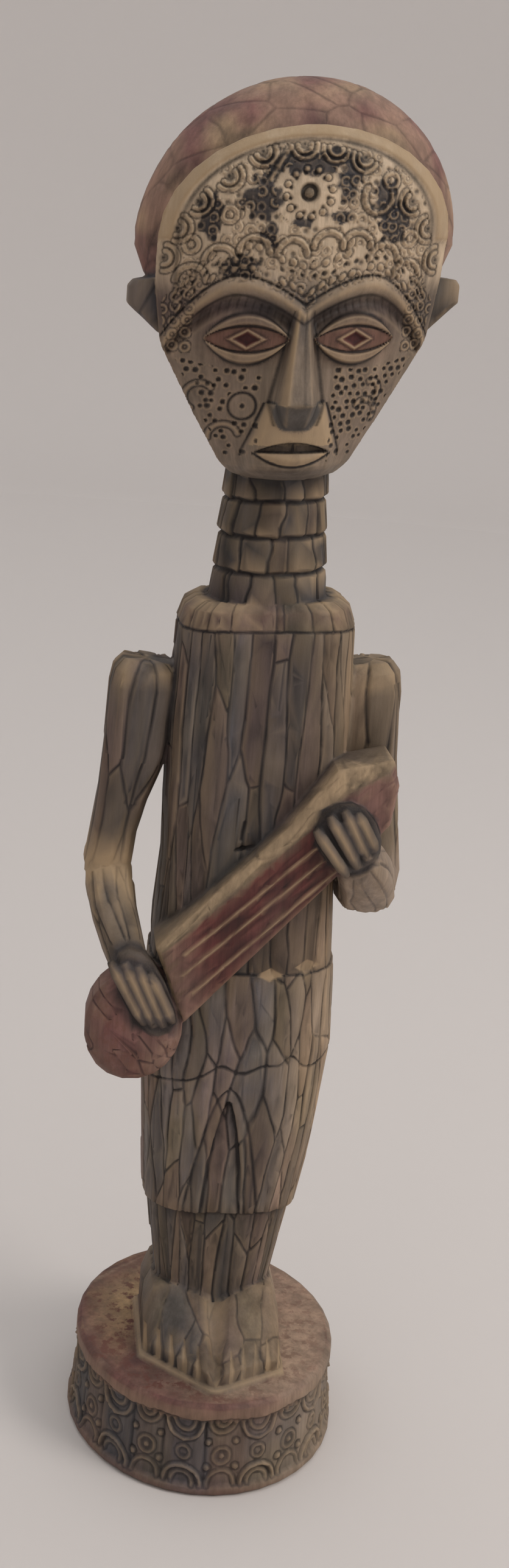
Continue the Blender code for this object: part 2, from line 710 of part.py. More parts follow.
def feet_top(x, y):
    """Height of the feet over the plinth, with the valley between them."""
    front = feet_front(x)
    share = min(1.0, max(0.0, (y - front) / (FEET_INSTEP_Y - front)))
    height = TOE_HEIGHT + (INSTEP_HEIGHT - TOE_HEIGHT) * share ** 1.35
    side = ramp(FEET_HALF_WIDTH, FEET_HALF_WIDTH - 4.0, abs(x))
    valley = hill(x - 1.2 * share, VALLEY_HALF_WIDTH * (0.15 + 0.85 * share) + 0.8)
    return height * (0.62 + 0.38 * side) - VALLEY_DEPTH * valley


def make_feet(collection):
    rings = []
    for column in range(FEET_COLUMNS + 1):
        x = FEET_HALF_WIDTH * (2.0 * column / FEET_COLUMNS - 1.0)
        front = feet_front(x)
        ring = [at(x, FEET_HEEL, -FEET_SINK), at(x, front, -FEET_SINK)]
        for row in range(FEET_ROWS + 1):
            y = front + (FEET_INSTEP_Y - front) * row / FEET_ROWS
            ring.append(at(x, y, feet_top(x, y)))
        ring.append(at(x, FEET_HEEL, feet_top(x, FEET_INSTEP_Y)))
        rings.append(ring)
    loft("feet", rings, collection)


def make_sole(collection):
    """The low step of wood left round the feet."""
    outline = [(-FEET_HALF_WIDTH, FEET_HEEL), (-FEET_HALF_WIDTH, feet_front(-FEET_HALF_WIDTH)),
               (-1.5, FEET_TIP), (1.5, FEET_TIP), (FEET_HALF_WIDTH, feet_front(FEET_HALF_WIDTH)),
               (FEET_HALF_WIDTH, FEET_HEEL)]
    rings = []
    for height, grow in ((-SOLE_SINK, SOLE_STEP * 1.2), (SOLE_HEIGHT, SOLE_STEP * 0.35)):
        ring = []
        for x, y in outline:
            out = Vector((x, y - FEET_HEEL / 2, 0.0)).normalized() * grow
            ring.append(at(x + out.x, y + out.y, height))
        rings.append(ring)
    loft("sole", rings, collection)


def make_toe_notches(collection):
    pitch = (FEET_HALF_WIDTH - 2.0) / TOES_PER_FOOT
    low = SOLE_HEIGHT + 0.4
    for side in (-1, 1):
        for place in range(1, TOES_PER_FOOT):
            x = side * (1.5 + pitch * place)
            tip = feet_front(x)
            rings = []
            for y, foot, width in ((tip - 3.0, low, TOE_NOTCH_WIDTH * 0.8),
                                   (tip + TOE_NOTCH_LENGTH, TOE_NOTCH_TOP, TOE_NOTCH_WIDTH * 0.2)):
                top = foot + INSTEP_HEIGHT / 2
                rings.append([at(x, y, foot), at(x + width, y, top), at(x - width, y, top)])
            loft("toe_notch", rings, collection)


def make_arch_cut(collection):
    """A pointed arch sunk into the front of the skirt, between the thighs."""
    body_front = -along([(station[0], station[3]) for station in BODY], (ARCH_TOP + ARCH_BOTTOM) / 2)
    shoulder = ARCH_HALF_WIDTH * ARCH_SHOULDER
    middle = ARCH_BOTTOM + (ARCH_TOP - ARCH_BOTTOM) * ARCH_SHOULDER_RISE
    tip = ARCH_TIP_HALF_WIDTH
    outline = ((-ARCH_HALF_WIDTH, ARCH_BOTTOM), (ARCH_HALF_WIDTH, ARCH_BOTTOM), (shoulder, middle),
               (tip, ARCH_TOP), (-tip, ARCH_TOP), (-shoulder, middle))
    rings = [[at(ARCH_X + x, y, height) for x, height in outline]
             for y in (CUTTER_FRONT, body_front + ARCH_DEPTH)]
    loft("arch_cut", rings, collection)


def make_navel_cut(collection):
    """A small slanting notch that narrows to a point inside."""
    floor = NAVEL_CUT - along([(station[0], station[3]) for station in BODY], NAVEL_HEIGHT)
    rings = []
    for y, size in ((CUTTER_FRONT, NAVEL_MOUTH), (floor, NAVEL_FLOOR)):
        half = NAVEL_HALF_WIDTH * size
        outline = ((-half, -0.8), (half, 0.2), (half * 0.4, 1.6 * size), (-half * 0.6, size))
        rings.append([at(NAVEL_X + x, y, NAVEL_HEIGHT + rise) for x, rise in outline])
    loft("navel_cut", rings, collection)


def plinth_point(angle, height, grow=0.0):
    """A point of the plinth's side, grow being how far it stands out."""
    flare = PLINTH_FLARE * (1.0 - height / PLINTH_HEIGHT)
    half_width = PLINTH_HALF_WIDTH + flare + grow
    half_depth = PLINTH_HALF_DEPTH + flare + grow
    x = half_width * math.cos(angle)
    y = half_depth * math.sin(angle)
    cosine = math.cos(PLINTH_TURN)
    sine = math.sin(PLINTH_TURN)
    return Vector((x * cosine - y * sine, x * sine + y * cosine, height))


def make_plinth(collection):
    top = PLINTH_HEIGHT
    edge = PLINTH_EDGE_ROUND
    band = PLINTH_BAND
    recess = PLINTH_PANEL_RECESS
    levels = ((0.0, -edge), (edge, 0.0), (band * 0.6, 0.0), (band * 0.6 + recess, -recess),
              (top - band - recess, -recess), (top - band, 0.0), (top - edge, 0.0), (top, -edge))
    rings = []
    for height, grow in levels:
        rings.append([plinth_point(2.0 * math.pi * side / PLINTH_SIDES, height, grow)
                      for side in range(PLINTH_SIDES)])
    loft("plinth", rings, collection)


def side_ridge(name, pairs, radius, collection):
    """A raised line on the plinth's side, along pairs of angle and height."""
    rings = []
    last = len(pairs) - 1
    for place, (angle, height) in enumerate(pairs):
        size = radius * (0.5 if place in (0, last) else 1.0)
        centre = plinth_point(angle, height, -PLINTH_PANEL_RECESS)
        outward = Vector((centre.x, centre.y, 0.0)).normalized()
        before = plinth_point(*pairs[max(0, place - 1)])
        after = plinth_point(*pairs[min(last, place + 1)])
        course = (after - before).normalized()
        across = outward.cross(course).normalized()
        rings.append([centre + outward * size, centre + across * size - outward * size * 0.5,
                      centre - across * size - outward * size * 0.5])
    loft(name, rings, collection)


def make_plinth_motifs(collection):
    """Hanging loops under the rim and arches over the foot band."""
    size = (PLINTH_HEIGHT - PLINTH_BAND * 1.6) * PLINTH_MOTIF_SHARE
    swing = 2.0 * size / (PLINTH_HALF_WIDTH + PLINTH_HALF_DEPTH)
    high = PLINTH_HEIGHT - PLINTH_BAND - PLINTH_MOTIF_GAP
    low = PLINTH_BAND * 0.6 + PLINTH_MOTIF_GAP
    for place in range(PLINTH_MOTIFS):
        angle = 2.0 * math.pi * (place + 0.5) / PLINTH_MOTIFS
        turns = [math.pi * step / 4 for step in range(5)]
        hanging = [(angle + swing * math.cos(turn), high - size * math.sin(turn)) for turn in turns]
        arch = [(angle + swing * math.cos(turn), low + size * math.sin(turn)) for turn in turns]
        side_ridge("plinth_loop", hanging, PLINTH_MOTIF_RADIUS, collection)
        side_ridge("plinth_arch", arch, PLINTH_MOTIF_RADIUS, collection)


def wood_material():
    material = bpy.data.materials.new("washed_wood")
    material.use_nodes = True
    shader = material.node_tree.nodes["Principled BSDF"]
    shader.inputs["Base Color"].default_value = (0.19, 0.16, 0.12, 1.0)
    shader.inputs["Roughness"].default_value = 0.62
    shader.inputs["Metallic"].default_value = 0.0
    return material


def hide_guides(collection):
    for shape in collection.objects:
        shape.hide_render = True
        shape.display_type = 'WIRE'


def carve(figure, collection, operation):
    """Join or cut each shape of a collection in turn."""
    for shape in collection.objects:
        change = figure.modifiers.new(shape.name, 'BOOLEAN')
        change.operation = operation
        change.object = shape
        change.solver = 'MANIFOLD'


def island(start):
    """All the vertices that hang together with one of them."""
    found = {start}
    waiting = [start]
    while waiting:
        for edge in waiting.pop().link_edges:
            for vertex in edge.verts:
                if vertex not in found:
                    found.add(vertex)
                    waiting.append(vertex)
    return found


def settle(figure):
    """Fix the unions and cuts into the mesh, without the crumbs that grazing faces leave."""
    graph = bpy.context.evaluated_depsgraph_get()
    mesh = bpy.data.meshes.new_from_object(figure.evaluated_get(graph))
    figure.modifiers.clear()
    figure.data = mesh
    body = bmesh.new()
    body.from_mesh(mesh)
    whole = island(min(body.verts, key=lambda vertex: vertex.co.z))
    crumbs = [vertex for vertex in body.verts if vertex not in whole]
    bmesh.ops.delete(body, geom=crumbs, context='VERTS')
    body.to_mesh(mesh)
    body.free()


def clear_scene():
    for shape in list(bpy.data.objects):
        bpy.data.objects.remove(shape, do_unlink=True)


def main():
    clear_scene()
    part = new_collection("carved_figure")
    added = new_collection("added_masses")
    cuts = new_collection("cuts")
    figure = make_body(part)
    figure.name = "carved_figure"
    make_neck(added)
    make_skull(added)
    make_face(added)
    for side in (-1, 1):
        make_ear(side, added)
    make_forehead(added)
    make_arms(added)
    make_instrument(added)
    make_hands(added)
    make_feet(added)
    make_sole(added)
    make_plinth(added)
    make_plinth_motifs(added)
    make_toe_notches(cuts)
    make_arch_cut(cuts)
    make_navel_cut(cuts)
    hide_guides(added)
    hide_guides(cuts)
    carve(figure, added, 'UNION')
    carve(figure, cuts, 'DIFFERENCE')
    settle(figure)
    figure.data.materials.append(wood_material())


main()
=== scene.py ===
import math

import bpy
import numpy as np
from mathutils import Matrix, Vector


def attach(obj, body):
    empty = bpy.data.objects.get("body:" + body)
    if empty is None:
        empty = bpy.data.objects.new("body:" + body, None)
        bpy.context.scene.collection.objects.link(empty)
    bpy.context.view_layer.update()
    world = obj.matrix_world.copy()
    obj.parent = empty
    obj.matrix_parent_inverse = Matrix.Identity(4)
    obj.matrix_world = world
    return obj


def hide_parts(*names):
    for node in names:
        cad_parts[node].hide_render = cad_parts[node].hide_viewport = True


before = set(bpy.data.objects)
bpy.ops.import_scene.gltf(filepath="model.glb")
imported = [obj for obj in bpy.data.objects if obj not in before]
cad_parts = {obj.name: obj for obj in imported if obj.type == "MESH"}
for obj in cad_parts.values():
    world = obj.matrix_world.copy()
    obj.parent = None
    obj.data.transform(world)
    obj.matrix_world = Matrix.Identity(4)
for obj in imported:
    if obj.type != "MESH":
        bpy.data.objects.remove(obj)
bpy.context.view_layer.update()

# The figure's own measures are millimetres, as in the solid: x to the viewer's right, y to the
# back, and height above the plinth's top along the leaning block
PLINTH_HEIGHT = 0.0385
FIGURE_HEIGHT = 0.4615
UNIT = FIGURE_HEIGHT / 461.5
PLINTH_TALL = PLINTH_HEIGHT / UNIT
LEAN = 0.077
LEAN_FROM = 60.0
LEAN_SPAN = 300.0

# Mesh: its voxels in metres, and how readily the face loses triangles where the rest has 1
VOXEL = 0.0005
TRIANGLES = 192000
FACE_THINNING = 0.35

# A distance in millimetres that no mark reaches
FAR = 99.0

# Legs, skirt and torso: height, centre x, half width, half depth, corner power
BODY = (
    (-3.0, 0.5, 22.6, 18.6, 2.6),
    (27.0, 0.5, 22.7, 18.8, 2.6),
    (45.0, 0.6, 25.2, 21.0, 2.7),
    (61.0, 0.7, 27.6, 22.6, 2.8),
    (62.0, 0.8, 29.8, 24.6, 2.8),
    (80.0, 1.6, 31.8, 25.6, 2.8),
    (104.0, 2.0, 33.6, 26.8, 2.9),
    (129.0, 2.0, 35.4, 27.4, 3.0),
    (160.0, 1.6, 34.0, 27.0, 3.2),
    (161.0, 1.6, 33.2, 26.2, 3.2),
    (176.0, 1.4, 32.5, 25.8, 3.3),
    (198.0, 1.2, 31.0, 25.0, 3.3),
    (220.0, 1.0, 31.6, 24.4, 3.4),
    (250.0, 0.9, 32.0, 23.8, 3.5),
    (284.0, 0.8, 30.8, 23.0, 3.4),
    (290.5, 0.6, 28.6, 21.4, 3.2),
    (293.0, 0.6, 24.8, 19.0, 2.8),
)
BODY_HALF_WIDTH = 33.0
BODY_HALF_DEPTH = 26.0
HEM = 61.5
BELT = 160.5
CHEST = 284.0
RIPPLE = 122.0
ARCHES = ((115.0, 13.5), (108.0, 7.4))
NAVEL = (-4.0, 214.0)
BELT_LEAVES = ((9.8, 160.2), (23.3, 162.6))

# Neck
NECK_X = 0.6
NECK_Y = 1.0
NECK_JOINTS = (303.0, 315.2, 327.2)
NECK_BOTTOM = 291.0
NECK_TOP = 340.0
NECK_RADIUS = 18.6

# Face
FACE_X = 1.0
FACE_BOTTOM = 335.0
FACE_SIDE_TOP = 412.0
FACE_TOP = 445.5
FACE_OUTLINE = ((335.0, 12.0), (336.6, 17.5), (340.0, 21.6), (355.0, 30.6), (379.0, 43.8),
                (398.0, 46.6), (412.0, 46.8))
FACE_MIDDLE = ((335.0, -20.0), (337.5, -25.5), (341.0, -28.0), (350.0, -29.0), (372.0, -28.5),
               (392.0, -31.0), (405.0, -33.0), (425.0, -32.5), (437.0, -29.0), (445.5, -23.5))
FACE_EDGE = ((335.0, -12.0), (350.0, -10.0), (395.0, -10.0), (411.0, -13.5), (430.0, -18.5),
             (445.5, -23.0))
FACE_ROUNDNESS = 2.2
FACE_RIM = 0.995
BAND_WIDTH = 3.4
BAND_RAISE = 1.3
BROW_V_HEIGHT = 386.0
BROW_PEAK_HEIGHT = 395.0
BROW_PEAK_X = 21.0
BROW_END_HEIGHT = 373.5
BROW_END_X = 45.0
BROW_WIDTH = 5.0
BROW_RAISE = 1.5
SOCKET_WIDTH = 4.6
SOCKET_DEPTH = 2.6
EYE_X = 17.3
EYE_HEIGHT = 381.0
EYE_HALF_LENGTH = 13.4
EYE_HALF_OPENING = 7.4
LID_RAISE = 2.4
BALL_RAISE = 1.2
DIAMOND_HALF_LENGTH = 5.2
DIAMOND_HALF_HEIGHT = 2.9
NOSE_TOP = 390.0
NOSE_TIP_HEIGHT = 361.0
NOSE_FOOT_HEIGHT = 352.0
NOSE_TOP_HALF_WIDTH = 2.8
NOSE_TIP_HALF_WIDTH = 8.2
NOSE_TOP_RAISE = 1.0
NOSE_TIP_RAISE = 11.0
NOSE_FOOT_RAISE = 2.2
MUZZLE_BOTTOM = 338.5
MUZZLE_TOP_HALF_WIDTH = 9.5
MUZZLE_HALF_WIDTH = 15.0
MUZZLE_RAISE = 3.2
MOUTH_HALF_WIDTH = 12.2
MOUTH_TOP = 348.6
MOUTH_LINE = 345.4
MOUTH_BOTTOM = 341.2
MOUTH_DEPTH = 3.2
LIP_RAISE = 1.4

# Hewn facets and scratches: width across and length along, in millimetres
TORSO_FACET = (7.8, 62.0)
TORSO_SCRATCH = (4.4, 30.0)
BEVEL_FACET = (15.0, 12.0)
SKIRT_FACET = (7.6, 38.0)
LEG_FACET = (7.4, 60.0)
NECK_FACET = (8.4, 20.0)
ARM_FACET = (7.4, 52.0)
FEET_FACET = (9.5, 24.0)
HAIR_FACET = (15.0, 17.0)
BOARD_SCRATCH = (2.6, 26.0)
BOWL_SCRATCH = (4.2, 12.0)

# Marks on the forehead: places across and up the face, as x and height
ROSETTE = (-1.7, 425.2)
ROSETTE_RADIUS = 7.2
ROSETTE_BEADS = 12
SCALLOPS = ((-35.7, 400.5), (-27.4, 406.4), (-17.1, 409.4), (-5.5, 408.7), (5.7, 410.9),
            (14.8, 410.9), (24.0, 407.3), (32.7, 402.0))
HANGINGS = ((-16.4, 437.2), (-26.2, 430.0), (-35.0, 422.6), (-40.6, 414.6), (-3.8, 439.4), (6.1, 438.4),
            (15.4, 435.6), (32.0, 422.8), (38.6, 414.6), (43.0, 405.0), (-44.2, 405.5))
RINGS = ((-25.4, 418.7), (-36.3, 409.7), (32.4, 411.7), (24.4, 428.9))
BAR = (-11.0, 434.0)
LOOP = (20.4, 424.0)
FILL_PITCH = 3.5

# Stains on the forehead: x, height, half width and half height
STAINS = ((-1.7, 434.1, 13.0, 3.2), (-16.0, 423.0, 6.0, 6.4), (-31.3, 417.9, 2.6, 6.0),
          (-21.2, 403.2, 6.0, 3.2), (23.0, 423.6, 3.6, 6.6), (27.0, 416.4, 4.4, 5.4),
          (8.8, 418.1, 3.6, 1.8), (-3.9, 416.6, 2.8, 1.6), (-12.6, 412.6, 3.0, 3.6),
          (11.0, 429.0, 3.4, 5.0))

# Beads over the brows: each row's height over the brow and its pitch
BEAD_ROWS = ((9.5, 3.5), (6.2, 3.3), (3.2, 3.1))

# Cheeks: each arc's centre, radius and end angles
CHEEK_PITCH = 3.0
CHEEK_RING = (-16.8, 359.8)
CHEEK_RING_RADIUS = 4.3
CHEEK_ARCS = (((23.6, 357.0), 4.2, -0.6, 2.4), ((-21.6, 349.0), 4.6, 0.4, 3.3),
              ((-30.0, 362.0), 4.6, 0.8, 4.2), ((25.0, 364.0), 3.2, -1.2, 1.8))

# Ears
EAR_ROOT_X = 45.0
EAR_TOP = 399.5
EAR_BOTTOM = 381.0
EAR_HALF_DEPTH = 9.5

# Arms: stations of x, y, height and thickness
LEFT_UPPER_ARM = ((-39.2, 0.0, 270.2, 9.0), (-39.6, 0.0, 267.0, 11.8), (-40.0, 0.0, 261.0, 12.8),
                  (-41.8, 0.0, 238.0, 12.3), (-45.4, 0.0, 221.0, 10.4), (-47.8, 0.0, 208.0, 9.5),
                  (-49.2, -0.5, 195.0, 9.5), (-49.0, -2.0, 185.0, 8.2))
LEFT_FOREARM = ((-48.8, 2.0, 190.5, 7.8), (-48.6, -4.0, 189.5, 9.0), (-46.6, -14.0, 180.0, 8.4),
                (-43.4, -24.0, 172.0, 7.6), (-40.8, -32.0, 166.0, 6.3))
RIGHT_UPPER_ARM = ((38.2, 0.0, 269.6, 8.7), (38.4, 0.0, 266.4, 11.5), (38.6, 0.0, 259.0, 12.6),
                   (40.4, 0.0, 234.0, 12.2), (43.0, 0.0, 210.0, 12.2), (45.2, -1.5, 192.0, 12.1),
                   (44.5, -4.0, 177.0, 6.6))
RIGHT_FOREARM = ((45.0, 0.0, 186.0, 9.2), (44.4, -10.0, 189.0, 10.5), (41.4, -22.0, 197.0, 9.6),
                 (38.0, -31.0, 203.5, 8.7), (35.4, -35.4, 207.4, 6.6))
ARMS = {"left_upper_arm": LEFT_UPPER_ARM, "left_forearm": LEFT_FOREARM,
        "right_upper_arm": RIGHT_UPPER_ARM, "right_forearm": RIGHT_FOREARM}
ELBOW_HEIGHT = 195.0
ARMS_BOTTOM = 100.0
ARMS_TOP = 275.0

# Hands: each finger's two ends as x and height, on an oval pad
LEFT_FINGERS = (((-48.0, 170.6), (-34.8, 146.4)), ((-43.2, 170.2), (-31.2, 145.6)),
                ((-38.6, 169.0), (-27.8, 145.6)), ((-34.2, 166.4), (-24.6, 147.0)))
LEFT_HAND_FRONT = -38.4
RIGHT_FINGERS = (((18.6, 220.2), (31.4, 203.0)), ((22.9, 225.2), (35.0, 206.0)),
                 ((27.7, 227.2), (38.0, 209.4)), ((32.4, 226.2), (40.4, 212.4)))
RIGHT_HAND_FRONT = -40.2
FINGER_RADIUS = 2.3
HAND_DEPTH = 7.0

# Instrument: the board's outline by run and offset, and its front face's upper edge
BOARD_MIDDLE = (3.15, 191.2)
BOARD_ANGLE = math.radians(48)
BOARD_BACK = -14.0
BOARD_FRONT = -36.6
BOARD_LOWER = ((-50.0, -13.2), (49.6, -12.8), (61.0, -4.8), (66.0, 3.2))
BOARD_UPPER = ((-50.0, -13.2), (-37.0, 14.4), (24.0, 12.8), (50.6, 15.0), (66.0, 3.2))
BOARD_FACE_TOP = ((-49.0, -11.0), (-36.2, 12.4), (24.0, 8.0), (47.2, 7.4), (62.6, 2.4))
BOWL_X = -38.2
BOWL_HEIGHT = 143.4
BOWL_HALF_WIDTH = 17.4
BOWL_HALF_HEIGHT = 21.0
BOWL_GRAIN = math.atan2(0.6, 0.8)
BOWL_PROFILE = ((-37.4, 0.70), (-36.2, 0.88), (-33.0, 1.0), (-22.0, 0.98), (-12.0, 0.80), (-6.0, 0.45))
STRINGS = (((-30.6, 6.2), (31.0, 0.9)), ((-37.0, 1.3), (30.0, -4.2)), ((-39.8, -6.1), (29.0, -10.1)))

# Feet
FEET_HALF_WIDTH = 26.0
FEET_TIP = -46.0
FEET_LEFT_SWEEP = 0.92
FEET_RIGHT_SWEEP = 0.48
TOES_PER_FOOT = 5
TOE_LENGTH = 8.0

# Plinth, its motifs as height, radius and the angle at which each half circle starts
PLINTH_HALF_WIDTH = 50.0
PLINTH_HALF_DEPTH = 54.9
PLINTH_TURN = math.radians(11)
PLINTH_BAND = 6.5
PLINTH_EDGE = 0.965
PLINTH_MOTIFS = 11
PLINTH_MOTIF_RADIUS = 7.3
PLINTH_MOTIF_HIGH = 30.8
PLINTH_MOTIF_LOW = 5.1
SIDE_LOOPS = ((PLINTH_MOTIF_HIGH, PLINTH_MOTIF_RADIUS, math.pi), (PLINTH_MOTIF_HIGH + 0.6, 4.2, math.pi),
              (PLINTH_MOTIF_LOW, PLINTH_MOTIF_RADIUS, 0.0), (PLINTH_MOTIF_LOW + 0.4, 4.2, 0.0))
BETWEEN_LOOPS = ((PLINTH_MOTIF_HIGH + 0.6, 5.2, math.pi), (PLINTH_MOTIF_LOW, 5.4, 0.0),
                 (PLINTH_MOTIF_HIGH + 0.8, 2.6, math.pi))
RIM_FOOT = PLINTH_TALL - PLINTH_BAND

# Its rings as height and radius, its beads as place across, height and radius
SIDE_RING = (17.8, 2.6)
BETWEEN_RING = (16.5, 3.4)
SIDE_BEADS = ((9.6, 12.0, 1.4), (9.8, 22.6, 1.3))
DIVIDER = 8.6

# Skull
DOME_X = 0.8
DOME_Y = 6.6
DOME_HEIGHT = 409.5
DOME_HALF_WIDTH = 53.0
DOME_HALF_DEPTH = 30.0
DOME_RISE = 52.0

# Colours of the finish, as screen values from 0 to 255
WASH = (90, 80, 72)
WASH_COOL = (74, 75, 82)
WASH_WARM = (104, 84, 70)
WASH_OLIVE = (88, 80, 64)
MAUVE = (98, 80, 82)
PALE = (168, 144, 114)
PALE_PINK = (160, 130, 116)
INK_AND_SHADE = (32, 27, 26)
STAIN_BLUE = (36, 36, 44)
RED_BROWN = (96, 46, 44)
PLUM = (116, 78, 76)
CREST = (150, 118, 102)
CREST_PALE = (166, 138, 110)
STONE = (82, 78, 75)
FOREHEAD = (206, 184, 157)
CHEEK = (138, 121, 103)
EYE = (112, 80, 68)
PUPIL = (86, 36, 38)
RUST = (98, 58, 50)
OCHRE = (180, 150, 108)
NIGHT = (58, 58, 63)
CHEST_BAND = (104, 76, 68)
EYE_ROUND = (112, 86, 74)
BOARD_HEAD = (134, 98, 90)
HAND = (76, 72, 74)
ELBOW = (158, 140, 124)
PLINTH_TOP = (170, 143, 121)
TOP_STAIN = (92, 60, 58)
RIM_LINE = (84, 44, 46)
RIM_BAND = (142, 113, 97)
PLINTH_FOOT = (90, 62, 56)
PLINTH_LIT = (150, 132, 113)
FLOOR_COLOUR = (216, 209, 205)

# How strongly the finish shows, the hollows darkening as dirt and as painted shade
INK_AND_SHADE_STRENGTH = 0.94
CREST_STRENGTH = 0.42
HOLLOW_STRENGTH = 0.55
SHEEN = 0.32
BUMP_STRENGTH = 0.35
BUMP_DEPTH = 0.0004

# Light: places and sizes in metres, power in watts
AIM = (0.0, 0.0, 0.26)
KEY_PLACE = (1.2, -0.8, 1.25)
KEY_SIZE = 0.8
KEY_POWER = 11.5
KEY_COLOUR = (1.0, 0.96, 0.92)
SKY_COLOUR = (0.96, 0.985, 1.0)
SKY_STRENGTH = 0.93

# Floor, in metres: flat out to its radius, then a rim that curves up
FLOOR_RADIUS = 2.4
RIM_WIDTH = 2.1
RIM_RISE = 4.5
RIM_STEPS = 24
FLOOR_SIDES = 96

# Camera: its place in metres, its sensor and lens in millimetres
CAMERA_PLACE = (-0.079, -0.600, 0.451)
CAMERA_PITCH = math.radians(17.34)
CAMERA_ROLL = math.radians(-4.82)
CAMERA_YAW = math.radians(7.68)
SENSOR = 36.0
LENS = 40.5


def ramp(low, high, value):
    """A smooth step from 0 at low to 1 at high."""
    share = np.clip((value - low) / (high - low), 0.0, 1.0)
    return share * share * (3.0 - 2.0 * share)


def hill(distance, reach):
    """Full at no distance, falling smoothly to nothing at the reach."""
    return 1.0 - ramp(0.0, reach, np.abs(distance))


def within(chosen, distance):
    """The distance where it counts, and far off elsewhere."""
    return np.where(chosen, distance, FAR)


def away(x, height, place):
    """Distance from a place on the front."""
    return np.hypot(x - place[0], height - place[1])


def on_circle(centre, radius, angle):
    return centre[0] + radius * math.cos(angle), centre[1] + radius * math.sin(angle)


def turned(first, second, angle):
    """Two coordinates, on axes turned by an angle."""
    cosine = math.cos(angle)
    sine = math.sin(angle)
    return first * cosine + second * sine, second * cosine - first * sine


def along(table, value, column=1):
    """A table read at a value, straight between its rows."""
    return np.interp(value, [row[0] for row in table], [row[column] for row in table])


def linear(colour):
    """Screen values to the linear values that a shader takes."""
    value = np.array(colour, float) / 255.0
    return np.where(value <= 0.04045, value / 12.92, ((value + 0.055) / 1.055) ** 2.4)


def scatter(column, row, seed):
    """A number from 0 to 1 for each whole-number place, the same each run."""
    mixed = column.astype(np.int64) * 73856093 ^ row.astype(np.int64) * 19349663 ^ int(seed) * 83492791
    mixed = (mixed ^ (mixed >> 13)) & 0x7fffffff
    mixed = (mixed * 1274126177) & 0x7fffffff
    mixed = mixed ^ (mixed >> 15)
    return (mixed & 0xffffff) / float(0xffffff)


def cloud(points, size, seed):
    """Smooth noise from -1 to 1 with lumps of the given size."""
    place = points / np.array(size, float)
    low = np.floor(place)
    part = place - low
    part = part * part * (3.0 - 2.0 * part)
    total = np.zeros(len(points))
    for corner in range(8):
        step = np.array((corner & 1, corner >> 1 & 1, corner >> 2))
        share = np.where(step > 0, part, 1.0 - part).prod(axis=1)
        cell = low + step
        total += share * scatter(cell[:, 0] * 57 + cell[:, 2], cell[:, 1], seed)
    return total * 2.0 - 1.0


def strewn(column, row, pitch, rise, stray, seed):
    """A place in each cell, a little off its middle."""
    across = (column + 0.5 + stray * (scatter(column, row, seed) - 0.5)) * pitch
    up = (row + 0.5 + stray * (scatter(column, row, seed + 1) - 0.5)) * rise
    return across, up


def facets(across, up, size, seed, unevenness=0.8):
    """Long hewn cells: distance to the nearest joint, place in the cell, and the cell's own numbers."""
    width, length = size
    u = across / width
    column = np.floor(u)
    seeds = []
    for side in (-1, 0, 1):
        own_column = column + side
        shift = scatter(own_column, own_column * 0, seed + 7)
        v = up / length + shift
        row = np.floor(v)
        for step in (-1, 0, 1):
            own_row = row + step
            seed_u = own_column + 0.5 + unevenness * (scatter(own_column, own_row, seed) - 0.5)
            seed_v = own_row + 0.5 + unevenness * (scatter(own_column, own_row, seed + 1) - 0.5) - shift
            seeds.append((seed_u, seed_v, own_column, own_row))
    v = up / length
    best = np.full(len(u), np.inf)
    best_u, best_v, best_column, best_row = (np.zeros(len(u)) for _ in range(4))
    for seed_u, seed_v, own_column, own_row in seeds:
        far = (u - seed_u) ** 2 + (v - seed_v) ** 2
        nearer = far < best
        best = np.where(nearer, far, best)
        best_u = np.where(nearer, seed_u, best_u)
        best_v = np.where(nearer, seed_v, best_v)
        best_column = np.where(nearer, own_column, best_column)
        best_row = np.where(nearer, own_row, best_row)
    joint = np.full(len(u), np.inf)
    for seed_u, seed_v, _, _ in seeds:
        gap_u = seed_u - best_u
        gap_v = seed_v - best_v
        slope = np.hypot(gap_u / width, gap_v / length)
        far = (u - seed_u) ** 2 + (v - seed_v) ** 2
        reach = np.where(slope > 1e-6, (far - best) / 2 / np.maximum(slope, 1e-6), np.inf)
        joint = np.minimum(joint, reach)
    return {
        "joint": joint,
        "side": (u - best_u) * width,
        "rise": (v - best_v) * length,
        "pick": [scatter(best_column, best_row, seed + 11 + extra) for extra in range(4)],
    }


def level(points):
    """Metres to the leaning block's own millimetres."""
    x = points[:, 0] / UNIT
    y = points[:, 1] / UNIT
    up = (points[:, 2] - PLINTH_HEIGHT) / UNIT
    middle = (up + x * LEAN * LEAN_FROM / LEAN_SPAN) / (1.0 + x * LEAN / LEAN_SPAN)
    high = up - x * LEAN
    height = np.where(middle < LEAN_FROM, up, np.where(middle > LEAN_FROM + LEAN_SPAN, high, middle))
    return np.column_stack((x, y, height))


def unlevel(places):
    """The leaning block's own millimetres to metres."""
    share = np.clip((places[:, 2] - LEAN_FROM) / LEAN_SPAN, 0.0, 1.0)
    up = places[:, 2] + places[:, 0] * LEAN * share
    return np.column_stack((places[:, 0] * UNIT, places[:, 1] * UNIT, PLINTH_HEIGHT + up * UNIT))


def face_half_width(height):
    """The face's half width at each height, an arc over its straight sides."""
    share = np.clip((height - FACE_SIDE_TOP) / (FACE_TOP - FACE_SIDE_TOP), 0.0, 1.0)
    arc = FACE_OUTLINE[-1][1] * np.sqrt(1.0 - share * share)
    return np.where(height <= FACE_SIDE_TOP, along(FACE_OUTLINE, height), arc)


